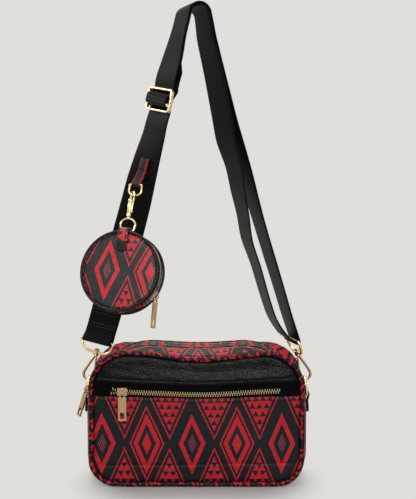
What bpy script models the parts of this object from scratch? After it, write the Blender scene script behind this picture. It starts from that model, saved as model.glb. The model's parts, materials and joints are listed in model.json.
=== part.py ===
# A small crossbody bag: zipped body with a printed front pocket, a webbing strap with a slide
# adjuster and two snap hooks, and a round coin pouch that hangs from the strap.
# Metres, +X to the wearer's right in the view, -Y to the front, +Z up.
# The origin is on the floor under the middle of the bag.

import math

import bmesh
import bpy
from mathutils import Matrix, Vector

MM = 0.001

# Clearance between pieces that touch or nearly touch
GAP = 0.3 * MM

# Bag body. The piping's centre line is the edge of the front and the back
BAG_HALF_WIDTH = 109.0 * MM
BAG_TOP = 140.2 * MM
BAG_HALF_DEPTH = 37.0 * MM
PIPING_RADIUS = 2.6 * MM
FRONT_TOP_CORNER = 38.0 * MM
REAR_TOP_CORNER = 45.0 * MM
BASE_CORNER = 26.0 * MM
FRONT_DIP = 6.7 * MM
REAR_DIP = 2.5 * MM
DIP_CENTRE = 4.0 * MM
DIP_REACH = 72.0 * MM

# The gusset bulges between the two pipings. These are the middle's own sizes
MIDDLE_HALF_WIDTH = 114.0 * MM
MIDDLE_TOP = 145.5 * MM
MIDDLE_TOP_CORNER = 70.0 * MM
MIDDLE_BASE_CORNER = 35.0 * MM
MIDDLE_DIP = 2.0 * MM
GUSSET_THICKNESS = 2.0 * MM
GUSSET_SEAM_HEIGHT = 88.0 * MM

# Walls of the body
PANEL_THICKNESS = 2.0 * MM
PANEL_PROUD = 1.4 * MM          # how far a panel's face stands in front of the piping's centre
WALL_THICKNESS = 1.2 * MM
POCKET_DEPTH = 4.8 * MM
DIVIDER_THICKNESS = 1.5 * MM

# Front zip
FRONT_ZIP_HEIGHT = 100.1 * MM
FRONT_TAPE_HEIGHT = 102.0 * MM  # the pocket's folded edge hides part of the lower tape
FRONT_TAPE_HALF = 7.2 * MM
FRONT_CHAIN_HALF_LENGTH = 86.5 * MM
FRONT_CHAIN_CENTRE = -1.0 * MM
FRONT_SLIDER_X = -76.6 * MM

# Zips in general
TAPE_THICKNESS = 0.8 * MM
CHAIN_HALF_WIDTH = 2.5 * MM
CHAIN_THICKNESS = 1.0 * MM
SLIDER_HALF_LENGTH = 5.0 * MM
SLIDER_WALL = 1.2 * MM
SLIDER_CLEARANCE = 0.4 * MM
BAIL_RADIUS = 0.7 * MM
BAIL_HALF_LENGTH = 2.8 * MM
PULL_THICKNESS = 1.2 * MM
PULL_HALF_WIDTH = 4.1 * MM
PULL_LENGTH = 29.0 * MM
PULL_NECK_HALF = 2.4 * MM

# Top zips
TOP_ZIP_Y = 15.5 * MM
TOP_TAPE_HALF = 4.6 * MM
TOP_SLIDER_HEIGHT = 97.5 * MM
TOP_PULL_LEAN = 17.0
TOP_PULL_TWIST = 30.0           # the pull hangs turned on its arch, its face partly to the front

# Side tabs and D-rings
TAB_HALF_WIDTH = 7.0 * MM
TAB_THICKNESS = 1.3 * MM
TAB_FOOT_HEIGHT = 73.0 * MM
D_RING_WIRE = 1.3 * MM
D_RING_INNER_WIDTH = 15.0 * MM
D_RING_BAR_HEIGHT = 91.0 * MM
D_RING_RISE = 18.3 * MM
D_RING_LEAN = 7.0

# Snap hooks
HOOK_PIVOT_X = 105.6 * MM
HOOK_PIVOT_HEIGHT = 134.6 * MM
CLAW_CENTRE_X = 113.5 * MM
CLAW_CENTRE_HEIGHT = 111.5 * MM
CLAW_RADIUS = 5.6 * MM          # to the wire's centre
HOOK_WIRE = 1.4 * MM
GATE_WIRE = 1.0 * MM
BOSS_RADIUS = 3.4 * MM
BOSS_BORE = 1.8 * MM
BOSS_HALF_LENGTH = 2.6 * MM
EYE_WIRE = 1.5 * MM

# Strap webbing
STRAP_WIDTH = 38.0 * MM
STRAP_THICKNESS = 1.5 * MM
LAYER_PITCH = STRAP_THICKNESS + 0.55 * MM
LEFT_EYE = (-104.1 * MM, 0.0, 147.3 * MM)
RIGHT_EYE = (99.8 * MM, 0.0, 148.8 * MM)
LEFT_EYE_YAW = 37.0
LEFT_EYE_TILT = -6.0
RIGHT_EYE_YAW = 75.0
SEWN_TAIL = 34.0 * MM
APEX = (-3.6 * MM, 14.0 * MM, 484.5 * MM)
APEX_RADIUS = 12.2 * MM         # outer layer's centre line
APEX_YAW = 66.0
APEX_TILT = 8.0

# Slide adjuster
ADJUSTER_HEIGHT = 398.3 * MM
ADJUSTER_HALF_HEIGHT = 11.2 * MM
ADJUSTER_WIRE = 1.4 * MM
ADJUSTER_HALF_DEPTH = 2.0 * MM
ADJUSTER_PIN = 1.2 * MM
ADJUSTER_SIDE_CLEARANCE = 0.6 * MM

# Coin pouch and what it hangs from. Its own frame has +X right, -Y front and +Z up the clasp
POUCH_ORIGIN = (-67.6 * MM, -3.6 * MM, 301.6 * MM)
POUCH_UP = (0.105, 0.279, 0.955)
POUCH_FACE = (-0.275, -0.899, 0.342)
POUCH_RADIUS = 41.2 * MM
POUCH_HALF_DEPTH = 10.0 * MM
POUCH_PIPING = 1.4 * MM
POUCH_PANEL = 1.8 * MM
POUCH_CROWN = 1.2 * MM
POUCH_ZIP_START = 62.0          # degrees from the pouch's right, counter-clockwise
POUCH_ZIP_END = -52.0
POUCH_SLIDER_ANGLE = -31.0
POUCH_PULL_TWIST = 30.0
POUCH_TAB_HALF_WIDTH = 5.6 * MM
POUCH_TAB_THICKNESS = 1.1 * MM
STRAP_TAB_HALF_WIDTH = 4.9 * MM
STRAP_TAB_THICKNESS = 1.1 * MM
TAB_RING_WIRE = 1.1 * MM
TAB_RING_HALF_WIDTH = 6.9 * MM
TAB_RING_HALF_HEIGHT = 5.7 * MM
TAB_RING_X = 4.8 * MM
TAB_RING_Y = -3.1 * MM
TAB_RING_TOP = 8.9 * MM         # its upper bar, which the tab folds round
FOLD_HALF_WIDTH = 4.6 * MM      # a tab is gathered to this where it folds round a ring
CLASP_WIRE = 1.2 * MM
BARREL_RADIUS = 2.6 * MM
BARREL_TOP = -5.6 * MM
BARREL_BASE = -24.6 * MM
BARREL_BORE = 1.4 * MM
BARREL_BORE_DEPTH = 5.0 * MM
EYE_RING_WIRE = 1.1 * MM
EYE_RING_HALF_WIDTH = 8.0 * MM
EYE_RING_HALF_HEIGHT = 6.3 * MM
EYE_RING_DROP = 32.9 * MM
CLASP_TURN = -48.0              # the clasp's own plane, turned about the pouch frame's up
POUCH_NECK = 9.1 * MM           # from the eye ring's centre down to the pouch's rim
POUCH_CENTRE_DROP = EYE_RING_DROP + POUCH_NECK + POUCH_RADIUS

# Counts of steps along curves
TUBE_SIDES = 8
TOP_STEPS = 44
BASE_STEPS = 60
POUCH_STEPS = 32

FRONT = Vector((0, -1, 0))
UP = Vector((0, 0, 1))


# Materials


def material(name, colour, roughness, metallic=0.0):
    made = bpy.data.materials.get(name)
    if made:
        return made
    made = bpy.data.materials.new(name)
    made.use_nodes = True
    shader = made.node_tree.nodes["Principled BSDF"]
    shader.inputs["Base Color"].default_value = (*colour, 1.0)
    shader.inputs["Roughness"].default_value = roughness
    shader.inputs["Metallic"].default_value = metallic
    made.diffuse_color = (*colour, 1.0)
    return made


def printed():
    return material("printed_fabric", (0.30, 0.03, 0.04), 0.6)


def pebbled():
    return material("black_pebbled", (0.02, 0.02, 0.022), 0.5)


def lining():
    return material("black_lining", (0.03, 0.03, 0.035), 0.8)


def tape():
    return material("zip_tape", (0.012, 0.012, 0.012), 0.85)


def webbing():
    return material("black_webbing", (0.015, 0.015, 0.017), 0.75)


def gold():
    return material("pale_gold", (0.72, 0.58, 0.36), 0.3, 1.0)


# Shapes


def add_object(name, shape, finish, smooth=True):
    """One closed mesh becomes one object, with its faces turned outwards."""
    bmesh.ops.recalc_face_normals(shape, faces=shape.faces)
    mesh = bpy.data.meshes.new(name)
    shape.to_mesh(mesh)
    shape.free()
    if smooth:
        mesh.shade_smooth()
        mesh.set_sharp_from_angle(angle=math.radians(40))
    mesh.materials.append(finish)
    made = bpy.data.objects.new(name, mesh)
    bpy.context.scene.collection.objects.link(made)
    return made


def place_origin(obj, point):
    """Moves the object's origin to a point without moving its shape."""
    shift = Vector(point) - obj.location
    obj.data.transform(Matrix.Translation(-shift))
    obj.location = Vector(point)


def skin(shape, rings, closed):
    """Joins rings of equally many points, with caps unless the rings close on themselves."""
    made = [[shape.verts.new(point) for point in ring] for ring in rings]
    pairs = list(zip(made, made[1:]))
    if closed:
        pairs.append((made[-1], made[0]))
    for near, far in pairs:
        for i in range(len(near)):
            j = (i + 1) % len(near)
            shape.faces.new((near[i], near[j], far[j], far[i]))
    if not closed:
        shape.faces.new(made[0][::-1])
        shape.faces.new(made[-1])


def tangents(points, closed):
    found = []
    for i, point in enumerate(points):
        if closed:
            ahead, behind = points[(i + 1) % len(points)], points[i - 1]
        else:
            ahead, behind = points[min(i + 1, len(points) - 1)], points[max(i - 1, 0)]
        found.append((ahead - behind).normalized())
    return found


def tube(points, radius, closed=False, sides=TUBE_SIDES, flat=1.0, side=None):
    """A round bar along points. flat squeezes it along side, its thin direction."""
    points = [Vector(point) for point in points]
    shape = bmesh.new()
    along = tangents(points, closed)
    across = side or along[0].orthogonal().normalized()
    rings = []
    for point, tangent in zip(points, along):
        across = (across - tangent * across.dot(tangent)).normalized()
        third = tangent.cross(across)
        ring = []
        for i in range(sides):
            turn = math.tau * (i + 0.5) / sides
            ring.append(point + (across * math.cos(turn) * flat + third * math.sin(turn)) * radius)
        rings.append(ring)
    skin(shape, rings, closed)
    return shape


def ribbon(points, widths, width, thickness):
    """A flat strip along points; widths holds its width direction at each, shorter where it narrows."""
    shape = bmesh.new()
    along = tangents(points, False)
    rings = []
    for point, tangent, across in zip(points, along, widths):
        half = across * width / 2
        lift = tangent.cross(across).normalized() * thickness / 2
        rings.append([point - half - lift, point + half - lift, point + half + lift, point - half + lift])
    skin(shape, rings, False)
    return shape


def prism(corners, low, high, place):
    """A flat outline given a thickness; place turns (u, v, depth) into a point."""
    shape = bmesh.new()
    skin(shape, [[place(u, v, low) for u, v in corners], [place(u, v, high) for u, v in corners]], False)
    return shape


def in_xz(u, v, depth):
    return Vector((u, depth, v))


def arc(centre_u, centre_v, radius, start, end, steps):
    """Points of an arc in the plane, in degrees counter-clockwise."""
    turns = [math.radians(start + (end - start) * i / steps) for i in range(steps + 1)]
    return [(centre_u + radius * math.cos(a), centre_v + radius * math.sin(a)) for a in turns]


def smooth_line(points, steps):
    """A Catmull-Rom curve through the points."""
    points = [Vector(point) for point in points]
    ends = [points[0] * 2 - points[1], *points, points[-1] * 2 - points[-2]]
    made = []
    for a, b, c, d in zip(ends, ends[1:], ends[2:], ends[3:]):
        for i in range(steps):
            t = i / steps
            bend = (a * 2 - b * 5 + c * 4 - d) * t * t
            twist = (b * 3 - a - c * 3 + d) * t * t * t
            made.append((b * 2 + (c - a) * t + bend + twist) / 2)
    made.append(points[-1])
    return made


def unite(target, tool):
    """Makes one body of two overlapping ones, and removes the second."""
    joined = target.modifiers.new("union", "BOOLEAN")
    joined.operation = "UNION"
    joined.solver = "EXACT"
    joined.object = tool
    bake(target)
    bpy.data.objects.remove(tool, do_unlink=True)
    return target


def cut(target, tool):
    removed = target.modifiers.new("cut", "BOOLEAN")
    removed.operation = "DIFFERENCE"
    removed.solver = "EXACT"
    removed.object = tool
    bake(target)
    bpy.data.objects.remove(tool, do_unlink=True)
    return target


def bake(obj):
    """Replaces the object's mesh with its evaluated one."""
    bpy.context.view_layer.update()
    seen = obj.evaluated_get(bpy.context.evaluated_depsgraph_get())
    mesh = bpy.data.meshes.new_from_object(seen)
    obj.modifiers.clear()
    obj.data = mesh


# Outline of the bag, seen from the front


def body_outline(half_width, top, top_corner, base, base_corner, dip):
    """Sizes of one rounded outline. The same six sizes describe front, middle and rear."""
    return {
        "half_width": half_width,
        "top": top,
        "top_corner": top_corner,
        "base": base,
        "base_corner": base_corner,
        "dip": dip,
    }


def front_outline():
    base = PIPING_RADIUS + GAP
    return body_outline(BAG_HALF_WIDTH, BAG_TOP, FRONT_TOP_CORNER, base, BASE_CORNER, FRONT_DIP)


def rear_outline():
    return body_outline(BAG_HALF_WIDTH, BAG_TOP, REAR_TOP_CORNER, PIPING_RADIUS + GAP, BASE_CORNER, REAR_DIP)


def gusset_edge(outline):
    """The gusset's edge is a piping radius outside the piping's centre line, down to the floor."""
    half_width, top = outline["half_width"] + PIPING_RADIUS, outline["top"] + PIPING_RADIUS
    corners = outline["top_corner"] + PIPING_RADIUS, outline["base_corner"] + PIPING_RADIUS
    return body_outline(half_width, top, corners[0], 0.0, corners[1], outline["dip"])


def gusset_middle():
    corners = (MIDDLE_TOP_CORNER, 0.0, MIDDLE_BASE_CORNER)
    return body_outline(MIDDLE_HALF_WIDTH, MIDDLE_TOP, *corners, MIDDLE_DIP)


def dip_at(x):
    reach = min(abs(x - DIP_CENTRE) / DIP_REACH, 1.0)
    return (1 + math.cos(math.pi * reach)) / 2


def perimeter(outline, offset=0.0):
    """Points (x, z) round the outline from the bottom's middle, moved outwards by offset."""
    half, low, high = outline["half_width"] + offset, outline["base"] - offset, outline["top"] + offset
    small, big = outline["base_corner"] + offset, outline["top_corner"] + offset
    right = arc(half - small, low + small, small, -90, 0, 9)
    right += [(half, low + small + (high - big - low - small) * i / 6) for i in range(1, 6)]
    right += arc(half - big, high - big, big, 0, 90, 14)
    top = [((half - big) * (1 - i / 6), high) for i in range(1, 7)]
    side = right + top
    points = [(0.0, low), *side, *[(-x, z) for x, z in reversed(side[:-1])]]
    return [(x, z - outline["dip"] * dip_at(x) if z > (low + high) / 2 else z) for x, z in points]


def cut_at(points, height, upper):
    """The run of a closed outline above or below a height, from right to left above and back below."""
    crossings = []
    for i, (a, b) in enumerate(zip(points, points[1:] + points[:1])):
        if (a[1] - height) * (b[1] - height) < 0:
            share = (height - a[1]) / (b[1] - a[1])
            crossings.append((i, (a[0] + (b[0] - a[0]) * share, height)))
    (first, right), (second, left) = crossings
    if upper:
        return [right, *points[first + 1 : second + 1], left]
    return [left, *points[second + 1 :], *points[: first + 1], right]


def resample(points, count):
    """Points at equal distances along an open run."""
    runs = [math.dist(a, b) for a, b in zip(points, points[1:])]
    total, made, walked, leg = sum(runs), [], 0.0, 0
    for i in range(count + 1):
        target = total * i / count
        while leg < len(runs) - 1 and walked + runs[leg] < target:
            walked += runs[leg]
            leg += 1
        share = min((target - walked) / runs[leg], 1.0)
        a, b = points[leg], points[leg + 1]
        made.append((a[0] + (b[0] - a[0]) * share, a[1] + (b[1] - a[1]) * share))
    return made


def clip_levels(points, low, high):
    """The part of a closed outline between two heights."""
    for limit, keep_above in ((low, True), (high, False)):
        kept = []
        for a, b in zip(points, points[1:] + points[:1]):
            inside = (a[1] >= limit) == keep_above
            if inside:
                kept.append(a)
            if inside != ((b[1] >= limit) == keep_above):
                share = (limit - a[1]) / (b[1] - a[1])
                kept.append((a[0] + (b[0] - a[0]) * share, limit))
        points = kept
    return points


def panel_outline(outline, inset):
    points = perimeter(outline, -inset)
    made = [points[0]]
    for point in points[1:]:
        if math.dist(point, made[-1]) > 0.5 * MM:
            made.append(point)
    return made


# The bag's panels and gusset


def make_panels():
    inset = PIPING_RADIUS + GAP
    outline = panel_outline(front_outline(), inset)
    face = -BAG_HALF_DEPTH - PANEL_PROUD
    back = face + PANEL_THICKNESS
    tape_top, tape_base = FRONT_TAPE_HEIGHT + FRONT_TAPE_HALF, FRONT_TAPE_HEIGHT - FRONT_TAPE_HALF
    ceiling = BAG_TOP + PANEL_THICKNESS
    yoke = clip_levels(outline, tape_top + GAP, ceiling)
    add_object("front_yoke", prism(yoke, face, back, in_xz), pebbled())
    pocket = clip_levels(outline, 0.0, tape_base - GAP)
    add_object("front_pocket_panel", prism(pocket, face, back, in_xz), printed())
    strip = clip_levels(outline, tape_base, tape_top)
    recess = face + PANEL_THICKNESS - TAPE_THICKNESS
    add_object("front_zip_tape", prism(strip, recess, back, in_xz), tape())
    wall = back + POCKET_DEPTH
    inner = panel_outline(wall_outline(wall + WALL_THICKNESS), GUSSET_THICKNESS + 4 * GAP)
    add_object("pocket_back_wall", prism(inner, wall, wall + WALL_THICKNESS, in_xz), lining())
    middle = panel_outline(gusset_middle(), GUSSET_THICKNESS + 2 * GAP)
    half = DIVIDER_THICKNESS / 2
    add_object("divider_wall", prism(middle, -half, half, in_xz), lining())
    rear = panel_outline(rear_outline(), inset)
    add_object("back_panel", prism(rear, -back, -face, in_xz), printed())


def make_pipings():
    for name, outline, y in (
        ("front_piping", front_outline(), -BAG_HALF_DEPTH),
        ("rear_piping", rear_outline(), BAG_HALF_DEPTH),
    ):
        line = panel_outline(outline, 0.0)
        add_object(name, tube([(x, y, z) for x, z in line], PIPING_RADIUS, closed=True), printed())


def edge_y():
    return BAG_HALF_DEPTH - PIPING_RADIUS - GAP


def middle_y():
    """How far from the centre the gusset keeps its middle outline."""
    return TOP_ZIP_Y + TOP_TAPE_HALF + GAP


def middle_share(y):
    """How much of the middle's outline the gusset has at a depth, from 0 at its edge to 1."""
    share = (edge_y() - abs(y)) / (edge_y() - middle_y())
    return math.sin(min(max(share, 0.0), 1.0) * math.pi / 2)


def wall_outline(y):
    """The front's outline, or the gusset's at that depth where the bag is wider than its middle."""
    front, edge, middle = front_outline(), gusset_edge(front_outline()), gusset_middle()
    for size in ("half_width", "top"):
        reach = edge[size] + (middle[size] - edge[size]) * middle_share(y) - PIPING_RADIUS - 3 * GAP
        front[size] = min(front[size], reach)
    return front


def gusset_row(y, upper, steps, offset):
    """One line of the gusset at a depth, blended from the edge's outline to the middle's."""
    run = []
    edge = gusset_edge(front_outline() if y < 0 else rear_outline())
    share = middle_share(y)
    lines = [
        resample(cut_at(perimeter(outline, offset), GUSSET_SEAM_HEIGHT, upper), steps)
        for outline in (edge, gusset_middle())
    ]
    for (ax, az), (bx, bz) in zip(*lines):
        run.append(Vector((ax + (bx - ax) * share, y, az + (bz - az) * share)))
    return run


def gusset_band(name, depths, upper, outside, inside, finish):
    """A strip of the gusset between offsets from its outer surface, ending just short of the cross seam."""
    steps = TOP_STEPS if upper else BASE_STEPS
    outer = [gusset_row(y, upper, steps, outside) for y in depths]
    inner = [gusset_row(y, upper, steps, inside) for y in depths]
    rings = []
    for i in range(steps + 1):
        rings.append([row[i] for row in outer] + [row[i] for row in reversed(inner)])
    if upper:
        for ring in (rings[0], rings[-1]):
            for point in ring:
                point.z += GAP
    shape = bmesh.new()
    skin(shape, rings, False)
    return add_object(name, shape, finish)


def make_gusset():
    edge, mid = edge_y(), middle_y()
    halfway = (edge + mid) / 2
    inner_edge = TOP_ZIP_Y - TOP_TAPE_HALF - GAP
    wall = -GUSSET_THICKNESS
    gusset_band("gusset_top_front", (-edge, -halfway, -mid), True, 0.0, wall, printed())
    gusset_band("gusset_top_middle", (-inner_edge, inner_edge), True, 0.0, wall, printed())
    gusset_band("gusset_top_rear", (mid, halfway, edge), True, 0.0, wall, printed())
    depths = (-edge, -halfway, -mid, mid, halfway, edge)
    gusset_band("gusset_bottom", depths, False, 0.0, wall, printed())
    low, high = TOP_ZIP_Y - TOP_TAPE_HALF, TOP_ZIP_Y + TOP_TAPE_HALF
    near, far = TOP_ZIP_Y - CHAIN_HALF_WIDTH, TOP_ZIP_Y + CHAIN_HALF_WIDTH
    under = chain_floor() - GAP
    for name, sign in (("front", -1), ("rear", 1)):
        depths = sorted((sign * low, sign * high))
        gusset_band(f"top_{name}_zip_tape", depths, True, under, under - TAPE_THICKNESS, tape())
        depths = sorted((sign * near, sign * far))
        top = chain_floor() + CHAIN_THICKNESS
        gusset_band(f"top_{name}_zip_chain", depths, True, top, chain_floor(), gold())


def chain_floor():
    """The top chain's underside, measured from the gusset's outer surface."""
    return -0.8 * MM


# Zip sliders and pulls


def slider_body(name, centre, travel, across, out):
    """A channel that straddles the chain. centre is on the chain's outer face."""
    inner = CHAIN_HALF_WIDTH + SLIDER_CLEARANCE
    outer = inner + SLIDER_WALL
    foot, roof = -CHAIN_THICKNESS, SLIDER_CLEARANCE
    top = roof + SLIDER_WALL
    corners = [
        (-outer, foot), (-inner, foot), (-inner, roof), (inner, roof), (inner, foot), (outer, foot),
        (outer, top - GAP), (outer - GAP, top), (GAP - outer, top), (-outer, top - GAP),
    ]

    def place(u, v, depth):
        return centre + across * u + out * v + travel * depth

    shape = prism(corners, -SLIDER_HALF_LENGTH, SLIDER_HALF_LENGTH, place)
    return add_object(name, shape, gold())


def add_bail(body, centre, hang, out, rise):
    """The arch on the slider that the pull hangs from."""
    top = SLIDER_CLEARANCE + SLIDER_WALL
    bend = 1.0 * MM
    sunk = top - SLIDER_WALL / 2
    legs = [
        (-BAIL_HALF_LENGTH, sunk), (-BAIL_HALF_LENGTH, top + rise - bend),
        (bend - BAIL_HALF_LENGTH, top + rise), (BAIL_HALF_LENGTH - bend, top + rise),
        (BAIL_HALF_LENGTH, top + rise - bend), (BAIL_HALF_LENGTH, sunk),
    ]
    points = [centre + hang * along + out * height for along, height in legs]
    side = hang.cross(out)
    arch = add_object("bail", tube(points, BAIL_RADIUS, sides=6, side=side), gold())
    return unite(body, arch)


def pull_pivot(centre, hang, out, twist):
    """The pull's hinge: under the arch, high enough for its neck to clear the slider when twisted."""
    return centre + hang * 0.9 * MM + out * (SLIDER_CLEARANCE + SLIDER_WALL + pull_lift(twist))


def pull_lift(twist):
    turn = math.radians(twist)
    return PULL_NECK_HALF * math.sin(turn) + PULL_THICKNESS / 2 * math.cos(turn) + 3 * GAP


def bail_rise(twist):
    return pull_lift(twist) + PULL_THICKNESS / 2 / math.cos(math.radians(twist)) + 2 * GAP + BAIL_RADIUS


def window(low, high, half):
    return [(-half, low), (half, low), (half, high), (-half, high)]


def pull_plate(name, pivot, hang, out, length, half_width):
    """A long plate with an eye in its narrower neck and an open window near its foot."""
    side = hang.cross(out)
    rim = PULL_THICKNESS / 2
    neck = PULL_NECK_HALF
    bevel = 0.8 * MM
    shoulder = rim + 4.6 * MM
    edge = [
        (bevel - neck, -rim), (neck - bevel, -rim), (neck, bevel - rim), (neck, shoulder - 2.4 * MM),
        (half_width, shoulder), (half_width, length - bevel), (half_width - bevel, length),
        (bevel - half_width, length), (-half_width, length - bevel), (-half_width, shoulder),
        (-neck, shoulder - 2.4 * MM), (-neck, bevel - rim),
    ]
    eye = window(rim, shoulder - 0.8 * MM, neck - 0.9 * MM)
    slot = window(length - 8.6 * MM, length - 2.2 * MM, half_width - 1.9 * MM)

    def place(u, v, depth):
        return pivot + side * u + hang * v + out * depth

    plate = add_object(name, prism(edge, -rim, rim, place), gold())
    for hole in (eye, slot):
        plate = cut(plate, add_object("hole", prism(hole, -2 * rim, 2 * rim, place), gold()))
    place_origin(plate, pivot)
    return plate


def twisted(out, hang, towards, twist):
    """out turned about hang by twist degrees, to the side of towards."""
    side = hang.cross(out)
    turn = math.copysign(math.radians(twist), side.dot(towards))
    return out * math.cos(turn) + side * math.sin(turn)


def make_front_zip():
    floor = -BAG_HALF_DEPTH - PANEL_PROUD + PANEL_THICKNESS - TAPE_THICKNESS - GAP
    chain_face = floor - CHAIN_THICKNESS
    low, high = FRONT_ZIP_HEIGHT - CHAIN_HALF_WIDTH, FRONT_ZIP_HEIGHT + CHAIN_HALF_WIDTH
    left = FRONT_CHAIN_CENTRE - FRONT_CHAIN_HALF_LENGTH
    right = FRONT_CHAIN_CENTRE + FRONT_CHAIN_HALF_LENGTH
    corners = [(left, low), (right, low), (right, high), (left, high)]
    add_object("front_zip_chain", prism(corners, chain_face, floor, in_xz), gold())
    centre = Vector((FRONT_SLIDER_X, chain_face, FRONT_ZIP_HEIGHT))
    body = slider_body("front_slider", centre, Vector((1, 0, 0)), UP, FRONT)
    add_bail(body, centre, -UP, FRONT, bail_rise(0))
    pivot = pull_pivot(centre, -UP, FRONT, 0)
    pull_plate("front_pull", pivot, -UP, FRONT, PULL_LENGTH, PULL_HALF_WIDTH)


def zip_arc():
    """Centre and radius of the arc that the top chain's outer face follows round a top corner."""
    centre = (MIDDLE_HALF_WIDTH - MIDDLE_TOP_CORNER, MIDDLE_TOP - MIDDLE_TOP_CORNER)
    return centre, MIDDLE_TOP_CORNER + chain_floor() + CHAIN_THICKNESS


def make_top_sliders():
    (centre_x, centre_z), radius = zip_arc()
    rise = math.asin((TOP_SLIDER_HEIGHT - centre_z) / radius)
    out = Vector((-math.cos(rise), 0, math.sin(rise)))
    travel = Vector((math.sin(rise), 0, math.cos(rise)))
    lean = math.radians(TOP_PULL_LEAN)
    hang = Vector((-math.sin(lean), 0, -math.cos(lean)))
    pull_out = Vector((-math.cos(lean), 0, math.sin(lean)))
    for name, sign in (("front", -1), ("rear", 1)):
        middle = Vector((-centre_x, sign * TOP_ZIP_Y, centre_z))
        centre = middle + out * radius
        body = slider_body(f"top_{name}_slider", centre, travel, Vector((0, 1, 0)), out)
        add_bail(body, centre, -travel, out, bail_rise(TOP_PULL_TWIST))
        pivot = pull_pivot(centre, -travel, out, TOP_PULL_TWIST)
        face = twisted(pull_out, hang, Vector((0, sign, 0)), TOP_PULL_TWIST)
        pull_plate(f"top_{name}_pull", pivot, hang, face, PULL_LENGTH, PULL_HALF_WIDTH)
        place_origin(body, middle)


# Side tabs and D-rings


def gusset_surface(height, sign):
    """The middle of the gusset's side at a height: a point on it."""
    centre_x = MIDDLE_HALF_WIDTH - MIDDLE_TOP_CORNER
    rise = max(height - (MIDDLE_TOP - MIDDLE_TOP_CORNER), 0.0)
    return Vector((sign * (centre_x + math.sqrt(MIDDLE_TOP_CORNER**2 - rise**2)), 0, height))


def d_ring_bar(sign):
    reach = GAP + TAB_THICKNESS + GAP + D_RING_WIRE
    return gusset_surface(D_RING_BAR_HEIGHT, sign) + Vector((sign * reach, 0, 0))


def make_tab(name, sign):
    """A leather strip folded round the D-ring's bar, both ends sewn flat on the gusset."""
    bar = d_ring_bar(sign)
    wrap = D_RING_WIRE + GAP + TAB_THICKNESS / 2
    under = GAP + TAB_THICKNESS / 2
    over = under + TAB_THICKNESS + GAP
    line = []
    for i in range(5):
        height = TAB_FOOT_HEIGHT + (bar.z - 5 * MM - TAB_FOOT_HEIGHT) * i / 4
        line.append(gusset_surface(height, sign) + Vector((sign * under, 0, 0)))
    for u, v in arc(bar.x, bar.z, wrap, 180, 0, 8):
        line.append(Vector((bar.x + (u - bar.x) * sign, 0, v)))
    drops = [0.0, 4.0 * MM, 8.5 * MM]
    for drop in drops[1:]:
        height = bar.z - drop
        share = min(drop / drops[-1], 1.0)
        wide = bar.x + sign * wrap
        close = gusset_surface(height, sign).x + sign * over
        line.append(Vector((wide + (close - wide) * share, 0, height)))
    line.append(gusset_surface(TAB_FOOT_HEIGHT, sign) + Vector((sign * over, 0, 0)))
    widths = [Vector((0, 1, 0))] * len(line)
    add_object(name, ribbon(line, widths, 2 * TAB_HALF_WIDTH, TAB_THICKNESS), pebbled())


def make_d_ring(name, sign):
    bar = d_ring_bar(sign)
    lean = math.radians(D_RING_LEAN)
    rise = Vector((-sign * math.sin(lean), 0, math.cos(lean)))
    half = D_RING_INNER_WIDTH / 2 + D_RING_WIRE
    corner = 2.0 * MM
    bend = arc(half - corner, corner, corner, -90, 0, 3)
    crown = arc(0, D_RING_RISE - half, half, 0, 180, 12)
    outline = bend + crown + [(-u, v) for u, v in reversed(bend)]
    points = [bar + Vector((0, u, 0)) + rise * v for u, v in outline]
    ring = add_object(name, tube(points, D_RING_WIRE, closed=True), gold())
    place_origin(ring, bar)


# Snap hooks


def hook_frame(sign):
    """The hook's pivot, its axis down to the claw, and its outward direction."""
    pivot = Vector((sign * HOOK_PIVOT_X, 0, HOOK_PIVOT_HEIGHT))
    claw = Vector((sign * CLAW_CENTRE_X, 0, CLAW_CENTRE_HEIGHT))
    down = (claw - pivot).normalized()
    outward = Vector((0, sign, 0)).cross(down) * -1
    return pivot, claw, down, outward.normalized()


def make_hook(side, sign):
    pivot, claw, down, outward = hook_frame(sign)
    reach = (claw - pivot).length
    neck = BOSS_HALF_LENGTH + GAP

    def place(out, along):
        return pivot + outward * out + down * along

    arm = [(0.0, -BOSS_HALF_LENGTH - 2 * GAP), (0.0, neck + 0.6 * MM), (0.5 * MM, neck + 1.8 * MM)]
    arm += [(2.2 * MM, reach - 14.5 * MM), (5.3 * MM, reach - 3.5 * MM)]
    arm += [(u, reach - v) for u, v in arc(0, 0, CLAW_RADIUS, 0, -205, 14)]
    shank = add_object(f"{side}_hook", tube([place(*p) for p in arm], HOOK_WIRE), gold())
    head_base, head_top = -BOSS_HALF_LENGTH - GAP, -BOSS_HALF_LENGTH - GAP - 1.3 * MM
    head = tube([place(0, head_base), place(0, head_top)], BOSS_BORE + 0.8 * MM)
    unite(shank, add_object("head", head, gold()))
    place_origin(shank, pivot)

    tip_u, tip_v = arc(0, 0, CLAW_RADIUS, -205, -205, 1)[0]
    hinge = place(-HOOK_WIRE - GATE_WIRE, neck + 3.2 * MM)
    gate = [place(-HOOK_WIRE - GATE_WIRE, neck + 2.0 * MM), place(tip_u, reach - tip_v - 2 * GAP)]
    lever = add_object(f"{side}_hook_gate", tube(gate, GATE_WIRE), gold())
    place_origin(lever, hinge)


def boss_ring(centre, axis, radius, bore, half_length, sides=16):
    """A short sleeve with a bore."""
    shape = bmesh.new()
    across = axis.orthogonal().normalized()
    third = axis.cross(across)
    rings = []
    for i in range(sides):
        turn = math.tau * i / sides
        spoke = across * math.cos(turn) + third * math.sin(turn)
        rings.append([
            centre + spoke * bore - axis * half_length, centre + spoke * radius - axis * half_length,
            centre + spoke * radius + axis * half_length, centre + spoke * bore + axis * half_length,
        ])
    skin(shape, rings, True)
    return shape


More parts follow.
